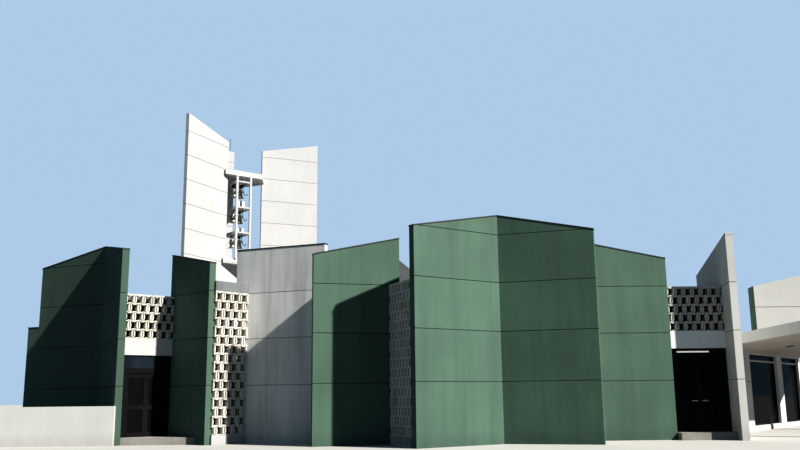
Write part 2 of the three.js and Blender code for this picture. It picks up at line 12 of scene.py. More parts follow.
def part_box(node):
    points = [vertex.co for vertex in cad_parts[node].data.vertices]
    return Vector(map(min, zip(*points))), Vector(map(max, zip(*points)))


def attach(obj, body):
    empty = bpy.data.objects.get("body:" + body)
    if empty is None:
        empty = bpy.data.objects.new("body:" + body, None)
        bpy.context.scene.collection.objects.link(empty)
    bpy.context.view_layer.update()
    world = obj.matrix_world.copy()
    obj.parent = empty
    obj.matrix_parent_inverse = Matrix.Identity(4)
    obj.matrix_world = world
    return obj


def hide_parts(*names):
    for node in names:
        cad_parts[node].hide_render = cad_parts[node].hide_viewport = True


bl_info = {
    "name": "Modern church finish",
    "version": (1, 0, 0),
    "blender": (4, 5, 0),
    "location": "3D View > Sidebar > Church",
    "description": "Dresses the solids of a modern church with joints, screens, doors, roof and bells",
    "category": "Object",
}

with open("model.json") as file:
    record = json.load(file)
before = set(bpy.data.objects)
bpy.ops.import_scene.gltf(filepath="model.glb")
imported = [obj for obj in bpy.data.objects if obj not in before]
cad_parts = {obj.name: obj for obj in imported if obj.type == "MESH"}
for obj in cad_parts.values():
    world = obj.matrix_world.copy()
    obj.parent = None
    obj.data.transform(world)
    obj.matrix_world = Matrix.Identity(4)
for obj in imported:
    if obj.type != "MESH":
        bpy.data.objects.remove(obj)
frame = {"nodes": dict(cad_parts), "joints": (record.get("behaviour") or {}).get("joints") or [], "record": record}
nodes = frame["nodes"]
slots = {part["node"]: part["material_slot"] for part in frame["record"]["subparts"]}
joints = {joint["name"]: joint for joint in frame["joints"]}
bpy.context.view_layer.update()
finishes = {}

UP = Vector((0, 0, 1))
CHAMFER = 0.004
IN_PLACE = Matrix.Identity(4)
BUILDING_MIDDLE = Vector((-1, 3, 0))

# These walls get real grooves at their pour joints, and copings apart from the two named below.
FRONT_WALLS = ["folded_wall_left", "green_wall_left", "pale_wall", "green_wall_middle",
               "folded_wall_centre", "green_wall_right", "entrance_fin", "parapet"]
SIDE_WALLS = ["left_side_wall", "rear_wall", "right_side_wall"]
NO_COPING = ["entrance_fin", "parapet"]
TOWER_SLABS = ["tower_slab_front", "tower_slab_right", "tower_slab_back"]

# Nodes with another finish than the one named after their slot.
OWN_FINISH = {
    # Painted shade and light: the parapet and the folded wall on the left get darker paint for shade, the right
    # lintel lighter paint for light thrown into its shade.
    "parapet": "stained_concrete", "folded_wall_left": "shaded_green", "right_lintel": "smooth_concrete",
    "raised_wall": "annex_white", "raised_wall_return": "annex_green",
    **dict.fromkeys(["tall_screen_plinth", "left_lintel"], "lintel_paint"),
    **dict.fromkeys(["canopy_roof", "canopy_post_1", "canopy_post_2", "low_front_wall"], "smooth_white"),
    **dict.fromkeys([*TOWER_SLABS, "cage_floor", "cage_roof", "bell_cage_frame"], "tower_paint"),
}

# How many blocks wide each screen is.
SCREEN_COLUMNS = {
    "left_entrance_screen": 5.5, "tall_screen_left": 4, "return_screen_left": 4.5,
    "tall_screen_middle": 8.5, "return_screen_right": 7, "right_entrance_screen": 6.5,
    "left_side_wall_screen_1": 6, "left_side_wall_screen_2": 6, "rear_wall_screen_1": 6,
    "rear_wall_screen_2": 6, "right_side_wall_screen_1": 6,
}


def finish_of(node):
    return OWN_FINISH.get(node, slots[node])


def number(name, description, default, low=0.0, high=100.0, unit="NONE"):
    return FloatProperty(name=name, description=description, default=default, min=low, max=high, unit=unit)


def length(name, description, default, low=0.0):
    return number(name, description, default, low, unit="LENGTH")


def colour(name, description, default):
    return FloatVectorProperty(name=name, description=description, default=default, size=3,
                               subtype="COLOR", min=0.0, max=1.0)


class ChurchWalls(bpy.types.PropertyGroup):
    lift: length("Lift", "Height of one pour of concrete", 1.65, 0.3)
    first_joint: length("First joint", "Height of the lowest pour joint of the walls", 2.01)
    tower_joint: length("Tower joint", "Height of the lowest pour joint of the tower", 0.86)
    annex_joint: length("Annex joint", "Height of the lowest pour joint of the raised wall", 5.13)
    joint_width: length("Joint width", "Width of the groove at a pour joint", 0.03)
    joint_depth: length("Joint depth", "Depth of the groove at a pour joint", 0.02)
    coping_rise: length("Coping rise", "Thickness of the metal strip on a wall top", 0.014)
    coping_lap: length("Coping lap", "How far the strip stands out past the wall", 0.012)
    coping_drip: length("Coping drip", "How far the strip turns down over the wall", 0.03)


class ChurchScreens(bpy.types.PropertyGroup):
    course: length("Course", "Height of one course of blocks", 0.31, 0.1)
    cap: length("Cap", "Height of the plain band on top of a screen", 0.04)
    rib: length("Rib", "Thickness of the wavy band between two courses", 0.033, 0.01)
    wave: length("Wave", "How far the bands between courses rise and fall", 0.028)
    web: length("Web", "Half width of a web at its middle, on a block of one course wide", 0.068, 0.01)
    web_end: length("Web end", "Half width of a web at its ends", 0.022, 0.01)
    web_back: number("Web back", "Width of a web at the back, as a share of its front", 1.3, 0.1, 2.0)
    slot: number("Slot", "Width of the slot down a web, as a share of the web", 0.26, 0.0, 0.6)
    inset: length("Inset", "How far the webs stand behind the bands", 0.006)
    seed: IntProperty(name="Seed", description="Seed of the tone of each web", default=7)


class ChurchDoors(bpy.types.PropertyGroup):
    stile: length("Stile", "Width of the upright members of a leaf", 0.11)
    rail: length("Rail", "Height of the level members of a leaf", 0.16)
    knee: length("Knee", "Height of the underside of the middle rail over the foot of a leaf", 0.95)
    sink: length("Sink", "How far the panes lie behind the face of a leaf", 0.014)
    head: length("Head", "Height of the fixed rail that the right leaves swing under", 0.09)
    tube_radius: length("Tube radius", "Radius of the light tubes over the doors", 0.024)
    tube_drop: length("Tube drop", "From a door head down to the middle of its light tube", 0.12)


class ChurchRoof(bpy.types.PropertyGroup):
    seam_pitch: length("Seam pitch", "Distance between two standing seams", 0.5, 0.1)
    seam_rise: length("Seam rise", "Height of a standing seam", 0.04)
    seam_width: length("Seam width", "Width of a standing seam", 0.028)
    eaves: length("Eaves", "Height of the roof light's eaves", 6.63)
    pane_pitch: length("Pane pitch", "Distance between two glazing bars of the roof light", 1.1, 0.2)


class ChurchBells(bpy.types.PropertyGroup):
    drop: length("Drop", "From the pivot down to the crown of a bell", 0.33)
    tall: length("Tall", "Height of a bell", 0.62)
    mouth: length("Mouth", "Radius of the mouth of a bell", 0.24)
    arm: length("Arm", "Reach of the curved lever of a bell", 0.35)
    stock: length("Stock", "Half length of the beam that a bell hangs on", 0.19)


class ChurchStage(bpy.types.PropertyGroup):
    sun: number("Sun", "Strength of the main light", 6.3)
    sky: number("Sky", "Strength of the soft light from all round", 0.17)
    sky_colour: colour("Sky colour", "Colour of the soft light", (0.36, 0.68, 1.0))
    backdrop_colour: colour("Backdrop colour", "Plain backdrop that the camera sees", (0.376, 0.515, 0.68))
    floor_colour: colour("Floor colour", "Colour of the plain floor", (0.50, 0.49, 0.46))
    bounce_colour: colour("Bounce colour", "Colour of the light that the floor throws back",
                          (0.088, 0.088, 0.088))


class ChurchColours(bpy.types.PropertyGroup):
    green: colour("Green", "Green masonry paint", (0.080, 0.152, 0.108))
    pale: colour("Pale", "Bare pale concrete", (0.840, 0.840, 0.815))
    # Painted shade: the parapet's grey concrete, darkened and blued as if it stood in shade.
    stained: colour("Stained", "Weathered grey concrete of the parapet", (0.180, 0.193, 0.203))
    white: colour("White", "White masonry paint", (0.680, 0.675, 0.645))
    tower: colour("Tower", "White paint of the tower", (0.530, 0.532, 0.535))
    # Painted light: the warm beige is partly the plaster's own colour and partly the warm light thrown up from the
    # paving.
    soffit: colour("Soffit", "Plaster under the porch roof", (0.780, 0.700, 0.600))
    block: colour("Block", "Cast blocks of the screens", (0.700, 0.680, 0.620))
    # Painted shade: this tint darkens the slots and the backs of the openings in the screens, where shade falls.
    block_side: colour("Block side", "Grimy sides of the openings in the screens", (0.260, 0.205, 0.130))
    paving: colour("Floor", "Concrete of the floors and steps", (0.330, 0.315, 0.285))
    felt: colour("Felt", "Mineral felt of the flat roof", (0.095, 0.098, 0.100))
    zinc: colour("Zinc", "Grey sheet metal", (0.205, 0.215, 0.230))
    coping: colour("Coping", "Dark metal of the copings", (0.035, 0.040, 0.040))
    door: colour("Door", "Near-black door paint", (0.004, 0.004, 0.005))
    steel: colour("Steel", "Brushed steel", (0.860, 0.860, 0.870))
    glass: colour("Glass", "Dark tinted glass", (0.004, 0.004, 0.005))
    transom: colour("Transom", "Glass over the left doors", (0.010, 0.014, 0.020))
    bronze: colour("Bronze", "Weathered bell bronze", (0.300, 0.285, 0.240))
    iron: colour("Iron", "Black iron of the bells' fittings", (0.018, 0.018, 0.020))


GROUPS = {
    "church_walls": ChurchWalls,
    "church_screens": ChurchScreens,
    "church_doors": ChurchDoors,
    "church_roof": ChurchRoof,
    "church_bells": ChurchBells,
    "church_stage": ChurchStage,
    "church_colours": ChurchColours,
}


# Node trees
class NodeTree:
    """Short ways to add nodes to a tree and to feed their inputs."""

    def __init__(self, tree):
        self.tree = tree

    def put(self, socket, value):
        if isinstance(value, bpy.types.NodeSocket):
            self.tree.links.new(value, socket)
        else:
            socket.default_value = value

    def node(self, kind, inputs=(), **settings):
        """Adds a node and feeds its inputs in order or, from a dict, by name or number."""
        made = self.tree.nodes.new(kind)
        for name, value in settings.items():
            setattr(made, name, value)
        for key, value in (inputs.items() if isinstance(inputs, dict) else enumerate(inputs)):
            if value is not None:
                self.put(made.inputs[key], value)
        return made

    def maths(self, operation, first, second=0.0):
        return self.node("ShaderNodeMath", (first, second), operation=operation).outputs[0]

    def vector(self, x=0.0, y=0.0, z=0.0):
        return self.node("ShaderNodeCombineXYZ", (x, y, z)).outputs[0]


# Materials
class Finish(NodeTree):
    """One procedural material that reads Object coordinates, which are metres in the part's frame."""

    def __init__(self, name, roughness=0.8, metallic=0.0):
        self.material = bpy.data.materials.new(name)
        self.material.use_nodes = True
        super().__init__(self.material.node_tree)
        self.shader = self.tree.nodes["Principled BSDF"]
        self.shader.inputs["Roughness"].default_value = roughness
        self.shader.inputs["Metallic"].default_value = metallic
        self.place = self.node("ShaderNodeTexCoord").outputs["Object"]
        self.height = self.node("ShaderNodeSeparateXYZ", (self.place,)).outputs["Z"]

    def fade(self, value, low, high, to_low=0.0, to_high=1.0):
        """Maps one range of a value smoothly to another."""
        return self.node("ShaderNodeMapRange", (value, low, high, to_low, to_high),
                         interpolation_type="SMOOTHSTEP").outputs[0]

    def noise(self, scale, detail=3.0, stretch=(1, 1, 1), seed=0.0):
        mapping = self.node("ShaderNodeMapping", (self.place, (seed, seed, seed), None, stretch))
        inputs = {"Vector": mapping.outputs[0], "Scale": scale, "Detail": detail}
        return self.node("ShaderNodeTexNoise", inputs).outputs["Fac"]

    def sheets(self, long, wide, gap, offset=0.0, tints=()):
        """Slabs or sheets in plan, with a gap between them, in metres."""
        names = ("Brick Width", "Row Height", "Mortar Size", "Color1", "Color2", "Mortar")
        inputs = dict(zip(names, (long, wide, gap, *((*tint, 1) for tint in tints))))
        return self.node("ShaderNodeTexBrick", {"Vector": self.place, "Scale": 1.0, **inputs}, offset=offset)

    def mix(self, share, first, second):
        tints = [tint if isinstance(tint, bpy.types.NodeSocket) else (*tint, 1) for tint in (first, second)]
        return self.node("ShaderNodeMix", {0: share, 6: tints[0], 7: tints[1]}, data_type="RGBA").outputs[2]

    def base(self, share, first, second, *fade):
        """Starts the colour with two tints, mixed by a share or by a value that is faded to a share."""
        self.tint = self.mix(self.fade(share, *fade) if fade else share, first, second)

    def coat(self, share, tint, *fade):
        """Lays a tint over the colour so far."""
        self.base(share, self.tint, tint, *fade)

    def bump(self, height, distance, strength=0.6):
        made = self.node("ShaderNodeBump", {"Strength": strength, "Distance": distance, "Height": height})
        self.put(self.shader.inputs["Normal"], made.outputs[0])

    def done(self, value=None, *fade):
        """Hands the colour and, where a value is given, its fade as roughness to the shader."""
        self.put(self.shader.inputs["Base Color"], self.tint)
        if value is not None:
            self.put(self.shader.inputs["Roughness"], self.fade(value, *fade))
        return self.material


def shade(tint, factor):
    return tuple(min(1.0, part * factor) for part in tint)


def wall_finish(name, tint, first_joint, streak_tint, streaks, cloud=0.10, roughness=0.8):
    """Painted or bare concrete: cloudy tone, rain streaks, pores, foot splash and dark joints."""
    walls = bpy.context.scene.church_walls
    finish = Finish(name, roughness)
    clouds = finish.fade(finish.noise(0.42, 4), 0.32, 0.68)
    finish.base(clouds, shade(tint, 1 - cloud), shade(tint, 1 + cloud))
    if first_joint is not None:
        pours = finish.maths("DIVIDE", finish.maths("SUBTRACT", finish.height, first_joint), walls.lift)
        tone = finish.node("ShaderNodeTexWhiteNoise", {"W": finish.maths("FLOOR", pours)},
                           noise_dimensions="1D").outputs["Value"]
        finish.coat(tone, streak_tint, 0, 1, 0.0, 0.10)
    thin = finish.fade(finish.noise(1.0, 6, (6.3, 7.1, 0.30), 3.1), 0.40, 0.80)
    wide = finish.fade(finish.noise(1.0, 5, (1.3, 1.7, 0.22), 9.4), 0.38, 0.76)
    rain = finish.maths("ADD", finish.maths("MULTIPLY", thin, 0.4), finish.maths("MULTIPLY", wide, 0.6))
    finish.coat(finish.maths("MULTIPLY", rain, streaks), streak_tint)
    foot = finish.fade(finish.height, 0.05, 0.55, 0.45, 0.0)
    finish.coat(finish.maths("MULTIPLY", foot, finish.noise(3.5, 4, seed=1.7)), shade(streak_tint, 0.55))
    pores = finish.noise(38, 4)
    finish.coat(pores, shade(tint, 0.72), 0.62, 0.80, 0.0, 0.35)
    if first_joint is not None:
        away = finish.maths("ABSOLUTE", finish.maths("SUBTRACT", pours, finish.maths("ROUND", pours)))
        edge = walls.joint_width / 2 / walls.lift
        above_foot = finish.fade(finish.height, first_joint - 0.3, first_joint - 0.2)
        line = finish.fade(away, edge * 0.7, edge * 1.15, 1.0, 0.0)
        finish.coat(finish.maths("MULTIPLY", line, above_foot), shade(tint, 0.45))
    finish.bump(finish.maths("ADD", pores, finish.maths("MULTIPLY", clouds, 2.0)), 0.004, 0.5)
    return finish.done(pores, 0.3, 0.7, roughness - 0.1, roughness + 0.1)


def block_finish(name, tint, shade_tint):
    """Cast blocks: each web a little lighter or darker, with pores, patches of grime, and painted shade in the
    slots and towards the back of the openings.
    """
    finish = Finish(name, 0.9)
    tone, side = (finish.node("ShaderNodeAttribute", attribute_name=label).outputs["Fac"]
                  for label in ("tone", "side"))
    finish.base(tone, shade(tint, 0.88), shade(tint, 1.12), -1, 1)
    # Painted shade: the 'side' layer darkens each web's slot and its sides towards the back.
    finish.coat(side, shade_tint)
    darkening = finish.noise(2.2, 6, (1, 1, 0.5), 4.2)
    finish.coat(darkening, shade(tint, 0.55), 0.48, 0.74, 0.0, 0.55)
    pores = finish.noise(60, 4)
    finish.coat(pores, shade(tint, 0.62), 0.58, 0.76, 0.0, 0.5)
    finish.bump(pores, 0.004, 0.6)
    return finish.done(pores, 0.3, 0.7, 0.82, 0.96)


def paving_finish(name, tint):
    """Smooth concrete in square slabs half a metre wide."""
    finish = Finish(name, 0.85)
    finish.base(finish.noise(1.1, 5), shade(tint, 0.82), shade(tint, 1.12), 0.35, 0.65)
    gaps = finish.sheets(0.5, 0.5, 0.006).outputs["Fac"]
    finish.coat(finish.maths("MULTIPLY", gaps, 0.6), shade(tint, 0.4))
    grain = finish.noise(90, 3)
    finish.coat(grain, shade(tint, 0.55), 0.5, 0.8, 0.0, 0.4)
    finish.bump(finish.maths("SUBTRACT", grain, gaps), 0.003)
    return finish.done(grain, 0.3, 0.7, 0.75, 0.95)


def felt_finish(name, tint):
    """Mineral felt in lapped sheets a metre wide."""
    finish = Finish(name, 0.95)
    sheets = finish.sheets(5.0, 1.0, 0.012, 0.4, [shade(tint, factor) for factor in (0.85, 1.3, 0.4)])
    finish.base(finish.noise(0.5, 5), sheets.outputs["Color"], shade(tint, 1.9), 0.5, 0.7, 0.0, 0.5)
    grit = finish.noise(160, 2)
    finish.coat(grit, shade(tint, 2.4), 0.5, 0.75, 0.0, 0.5)
    finish.bump(finish.maths("SUBTRACT", grit, sheets.outputs["Fac"]), 0.004)
    return finish.done()


def metal_finish(name, tint, roughness, metallic, stretch=(1, 1, 1), scale=6.0):
    """Sheet or bar with clouded tarnish, fine scratches and small dents."""
    finish = Finish(name, roughness, metallic)
    tarnish = finish.fade(finish.noise(scale * 0.3, 5, stretch), 0.35, 0.7)
    finish.base(tarnish, shade(tint, 1.15), shade(tint, 0.72))
    scratch = finish.noise(scale * 12, 3, stretch, 5.0)
    finish.coat(scratch, shade(tint, 0.6), 0.6, 0.8, 0.0, 0.4)
    finish.bump(finish.maths("ADD", scratch, tarnish), 0.001, 0.35)
    return finish.done(tarnish, 0, 1, roughness - 0.08, roughness + 0.14)


def door_finish(name, tint):
    """Satin paint, worn lighter in long patches."""
    finish = Finish(name, 0.42)
    finish.shader.inputs["Specular IOR Level"].default_value = 0.15
    finish.base(finish.noise(1.6, 6, (1, 1, 0.3)), tint, shade(tint, 2.6), 0.5, 0.75)
    grain = finish.noise(30, 4, (6, 6, 0.4))
    finish.bump(grain, 0.0015, 0.4)
    return finish.done(grain, 0.3, 0.7, 0.34, 0.52)


def glass_finish(name, tint, roughness=0.05):
    """Dark glass with a patchy film of dust."""
    finish = Finish(name, roughness)
    dust = finish.fade(finish.noise(1.4, 6, (1, 1, 0.4)), 0.42, 0.8, 0.0, 0.30)
    finish.base(dust, tint, shade(tint, 4.0))
    finish.shader.inputs["Specular IOR Level"].default_value = 0.05
    finish.bump(finish.noise(0.8, 2), 0.004, 0.25)
    return finish.done(dust, 0.0, 0.3, roughness, roughness + 0.16)


def bronze_finish(name, tint):
    """Cast bronze with green-grey bloom and dark runs."""
    finish = Finish(name, 0.5, 0.45)
    bloom = finish.fade(finish.noise(5.0, 6), 0.45, 0.7)
    finish.base(bloom, tint, (0.16, 0.19, 0.15))
    finish.coat(finish.noise(6.0, 5, (3, 3, 0.3), 2.0), shade(tint, 0.35), 0.5, 0.75, 0.0, 0.7)
    finish.bump(finish.noise(50, 3), 0.001, 0.5)
    return finish.done(bloom, 0, 1, 0.32, 0.6)


def lamp_finish(name):
    """White plastic of the light tubes, with dust on it, and a faint painted glow for the light that falls on the
    unlit tube.
    """
    finish = Finish(name, 0.4)
    # Painted light: a faint glow stands in for the light that falls on the tube, which is not switched on.
    finish.shader.inputs["Emission Color"].default_value = (1.0, 0.96, 0.86, 1)
    finish.shader.inputs["Emission Strength"].default_value = 0.45
    finish.base(finish.noise(9, 4), (0.86, 0.85, 0.80), (0.70, 0.68, 0.62), 0.4, 0.7)
    return finish.done()


def make_finishes():
    """All materials by name. Walls say tint, lowest joint, streak tint, streaks, clouds and roughness."""
    scene = bpy.context.scene
    tints = {name: tuple(getattr(scene.church_colours, name)) for name in ChurchColours.__annotations__}
    green, pale, stained = tints["green"], tints["pale"], tints["stained"]
    white, tower = tints["white"], tints["tower"]
    walls = scene.church_walls
    first, annex = walls.first_joint, walls.annex_joint
    green_streak, pale_streak = (0.032, 0.060, 0.046), (0.30, 0.31, 0.31)
    white_streak, tower_streak = (0.46, 0.45, 0.41), (0.36, 0.355, 0.34)
    made = {
        "green_paint": (wall_finish, green, first, green_streak, 0.45),
        # Painted shade: a darker copy of the green paint, for the folded wall on the left, which lies in the shade
        # of trees.
        "shaded_green": (wall_finish, shade(green, 0.72), first, green_streak, 0.45),
        "annex_green": (wall_finish, green, annex, green_streak, 0.45),
        "pale_concrete": (wall_finish, pale, first, pale_streak, 0.75, 0.10, 0.85),
        # Painted light: the right lintel's concrete is lightened, to stand for the light thrown up into the shade
        # it lies in.
        "smooth_concrete": (wall_finish, shade(pale, 1.15), None, pale_streak, 0.1, 0.05, 0.85),
        "white_paint": (wall_finish, white, first, white_streak, 0.28, 0.05),
        "annex_white": (wall_finish, shade(white, 0.82), annex, white_streak, 0.28, 0.05),
        # Painted light: the plaster is tinted warm for the light that the paving throws up under the porch roof.
        "soffit_plaster": (wall_finish, tints["soffit"], None, white_streak, 0.1, 0.06),
        # Painted shade: the parapet is painted dark blue-grey, as if it stood in shade.
        "stained_concrete": (wall_finish, stained, first, shade(stained, 0.45), 0.6, 0.10, 0.85),
        "smooth_white": (wall_finish, white, None, white_streak, 0.22, 0.05),
        "tower_paint": (wall_finish, tower, walls.tower_joint, tower_streak, 0.2, 0.04),
        "lintel_paint": (wall_finish, tower, None, tower_streak, 0.2, 0.04),
        "block_concrete": (block_finish, tints["block"], tints["block_side"]),
        "floor_concrete": (paving_finish, tints["paving"]),
        "roof_skin": (felt_finish, tints["felt"]),
        "zinc_sheet": (metal_finish, tints["zinc"], 0.5, 0.6),
        "dark_coping": (metal_finish, tints["coping"], 0.55, 0.3),
        "door_paint": (door_finish, tints["door"]),
        "bright_steel": (metal_finish, tints["steel"], 0.38, 0.15, (1, 1, 8), 20),
        "tinted_glass": (glass_finish, tints["glass"]),
        "bell_bronze": (bronze_finish, tints["bronze"]),
        "black_iron": (metal_finish, tints["iron"], 0.5, 0.5, (1, 1, 1), 14),
        "lamp_tube": (lamp_finish,),
        "transom_glass": (glass_finish, tints["transom"], 0.12),
    }
    return {name: make(name, *values) for name, (make, *values) in made.items()}


# Objects and meshes
def add_object(name, data):
    made = bpy.data.objects.new(name, data)
    bpy.context.scene.collection.objects.link(made)
    return made


def to_mesh(name, shape):
    mesh = bpy.data.meshes.new(name)
    shape.to_mesh(mesh)
    shape.free()
    return mesh


def place_mesh(name, mesh, finish, body="root", node=None):
    """
    Turns a mesh into a piece that rides on a body, and that replaces a solid where one is named. Its one material
    is the named finish.
    """
    mesh.materials.append(finishes[finish])
    piece = add_object(name, mesh)
    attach(piece, body)
    if node:
        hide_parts(node)
    return piece


def new_piece(name, shape, finish, body="root", node=None):
    return place_mesh(name, to_mesh(name, shape), finish, body, node)


def turned_out(shape):
    """Makes the faces of closed bodies look outwards."""
    bmesh.ops.recalc_face_normals(shape, faces=shape.faces)
    return shape


def add_box(shape, low, high, edge=0.0, matrix=None):
    """A box with chamfered edges, in place or in the frame of a matrix."""
    low, high = Vector(low), Vector(high)
    size = high - low
    place = Matrix.Translation((low + high) / 2) @ Matrix.Diagonal((*size, 1))
    verts = bmesh.ops.create_cube(shape, size=1.0, matrix=place)["verts"]
    if edge > 0:
        edges = list(dict.fromkeys(one for vert in verts for one in vert.link_edges))
        bevelled = bmesh.ops.bevel(shape, geom=edges, offset=edge, segments=1, affect="EDGES")
        verts = list(dict.fromkeys(vert for face in bevelled["faces"] for vert in face.verts))
    if matrix is not None:
        bmesh.ops.transform(shape, matrix=matrix, verts=verts)


def add_circle(shape, matrix, radius, height, sides):
    """A ring of vertices about the matrix's Z axis, or one vertex for all where the radius is none."""
    if radius < 1e-6:
        return [shape.verts.new(matrix @ Vector((0, 0, height)))] * sides
    return [shape.verts.new(matrix @ Vector((math.cos(a) * radius, math.sin(a) * radius, height)))
            for a in (math.tau * k / sides for k in range(sides))]


def join_rings(shape, rings, smooth=False, ends=False):
    """Faces all round between each ring of vertices and the next, and over both ends if asked."""
    for low, high in zip(rings, rings[1:]):
        for k in range(len(low)):
            after = (k + 1) % len(low)
            corners = list(dict.fromkeys((low[k], low[after], high[after], high[k])))
            if len(corners) > 2:
                shape.faces.new(corners).smooth = smooth
    if ends:
        shape.faces.new(list(reversed(rings[0])))
        shape.faces.new(rings[-1])


def add_tube(shape, path, radius, sides=10):
    """A round bar along a list of points."""
    rings = []
    for i, point in enumerate(path):
        ahead = path[min(i + 1, len(path) - 1)] - path[max(i - 1, 0)]
        turn = ahead.to_track_quat("Z", "Y").to_matrix().to_4x4()
        rings.append(add_circle(shape, Matrix.Translation(point) @ turn, radius, 0, sides))
    join_rings(shape, rings, smooth=True, ends=True)


def add_lathe(shape, section, sides, matrix):
    """A closed round body from pairs of radius and height, listed from its axis out and back."""
    join_rings(shape, [add_circle(shape, matrix, radius, height, sides) for radius, height in section], True)


def merged_copy(node):
    """A CAD solid as a bmesh, with its loose triangles merged into whole faces."""
    same_place, same_plane = 0.00015, math.radians(0.4)
    shape = bmesh.new()
    shape.from_mesh(nodes[node].data)
    bmesh.ops.remove_doubles(shape, verts=shape.verts, dist=same_place)
    bmesh.ops.dissolve_limit(shape, angle_limit=same_plane, verts=shape.verts, edges=shape.edges)
    shape.normal_update()
    for face in shape.faces:
        face.smooth = False
    return shape


def upright_frame(start, along):
    """A frame at a point with X along a level line, Y to the left of it and Z up."""
    turn = Matrix((along, UP.cross(along), UP)).transposed().to_4x4()
    return Matrix.Translation(start) @ turn


def slab_frame(node):
    """The place and size of an upright slab: X along it as seen from outside, Y inwards, Z up."""
    shape = merged_copy(node)
    widest = max((face for face in shape.faces if abs(face.normal.z) < 0.1),
                 key=lambda face: face.calc_area())
    outward = Vector((widest.normal.x, widest.normal.y, 0)).normalized()
    low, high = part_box(node)
    if outward.dot((low + high) / 2 - BUILDING_MIDDLE) < 0:
        outward = -outward
    turn = upright_frame((0, 0, 0), UP.cross(outward))
    inner = [turn.transposed() @ vert.co for vert in shape.verts]
    shape.free()
    start, end = (Vector([pick(point[i] for point in inner) for i in range(3)]) for pick in (min, max))
    return turn @ Matrix.Translation(start), end - start


# Walls
def cut_joints(shape, levels, width, depth):
    """Presses a groove with sloping sides into every upright face at each level."""
    for level in levels:
        for height in (level - width / 2, level, level + width / 2):
            bmesh.ops.bisect_plane(shape, geom=[*shape.verts, *shape.edges, *shape.faces], dist=1e-5,
                                   plane_co=(0, 0, height), plane_no=UP)
    shape.normal_update()
    moves = {}
    for vert in shape.verts:
        if not any(abs(vert.co.z - level) < 1e-4 for level in levels):
            continue
        sides = []
        for face in vert.link_faces:
            flat = Vector((face.normal.x, face.normal.y, 0))
            if flat.length > 0.9 and all(flat.dot(side) < 0.99 for side in sides):
                sides.append(flat.normalized())
        if len(sides) == 1:
            moves[vert] = -sides[0] * depth
        elif len(sides) > 1 and sides[0].dot(sides[1]) > -0.9:
            moves[vert] = -(sides[0] + sides[1]) * (depth / (1 + sides[0].dot(sides[1])))
    for vert, move in moves.items():
        vert.co += move


def dress_wall(node, first_joint):
    """A wall with grooves at its pour joints, none of them within 0.1 m of its foot or top."""
    walls = bpy.context.scene.church_walls
    low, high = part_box(node)
    count = int((high.z - 0.1 - first_joint) / walls.lift) + 1
    levels = [level for level in (first_joint + walls.lift * i for i in range(count)) if level > low.z + 0.1]
    shape = merged_copy(node)
    cut_joints(shape, levels, walls.joint_width, walls.joint_depth)
    return new_piece(node + "_face", shape, finish_of(node), node=node)


def repaint(piece, extra, choose):
    """Adds finishes to a piece, and gives each face the one chosen by number, 0 being the piece's own."""
    for finish in extra:
        piece.data.materials.append(finishes[finish])
    for face in piece.data.polygons:
        face.material_index = choose(face)


def widened(corners, normal, lap):
    """An outline in its plane, moved outwards by a lap on every side."""
    moved = []
    for i, corner in enumerate(corners):
        before = (corner - corners[i - 1]).normalized().cross(normal)
        after = (corners[(i + 1) % len(corners)] - corner).normalized().cross(normal)
        moved.append(corner + (before + after) * (lap / (1 + before.dot(after))))
    return moved


def add_coping(shape, node):
    """A metal strip over each sloping or level top of a wall, turned down at its edges."""
    walls = bpy.context.scene.church_walls
    wall = merged_copy(node)
    for face in wall.faces:
        if face.normal.z < 0.3 or face.calc_center_median().z < 3:
            continue
        outline = widened([vert.co.copy() for vert in face.verts], face.normal, walls.coping_lap)
        rings = [[shape.verts.new(point + UP * rise) for point in outline]
                 for rise in (-walls.coping_drip, walls.coping_rise)]
        join_rings(shape, rings, ends=True)
    wall.free()


class CHURCH_OT_walls(bpy.types.Operator):
    """Cut the pour joints into the walls and slabs and give them their paint"""

    bl_idname = "church.walls"
    bl_label = "Walls and slabs"

    def execute(self, context):
        walls = context.scene.church_walls
        for node in FRONT_WALLS + SIDE_WALLS:
            dress_wall(node, walls.first_joint)
        raised = dress_wall("raised_wall", walls.annex_joint)
        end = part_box("raised_wall")[0].x + 0.01
        repaint(raised, ["annex_green"], lambda face: int(face.normal.x < -0.5 and face.center.x < end))
        dress_wall("raised_wall_return", walls.annex_joint)
        canopy = new_piece("canopy_roof_face", merged_copy("canopy_roof"), "smooth_white", node="canopy_roof")
        # The underside gets the soffit plaster, whose warm tint paints the light thrown up from the paving.
        repaint(canopy, ["soffit_plaster", "roof_skin"],
                lambda face: 1 if face.normal.z < -0.5 else 2 if face.normal.z > 0.5 else 0)
        for node in TOWER_SLABS:
            dress_wall(node, walls.tower_joint)
        return {"FINISHED"}


class CHURCH_OT_copings(bpy.types.Operator):
    """Lay thin metal copings on the tops of the walls"""

    bl_idname = "church.copings"
    bl_label = "Copings"

    def execute(self, context):
        for name, group in (("front_copings", FRONT_WALLS), ("side_copings", SIDE_WALLS)):
            shape = bmesh.new()
            for node in group:
                if node not in NO_COPING:
                    add_coping(shape, node)
            new_piece(name, shape, "dark_coping")
        return {"FINISHED"}


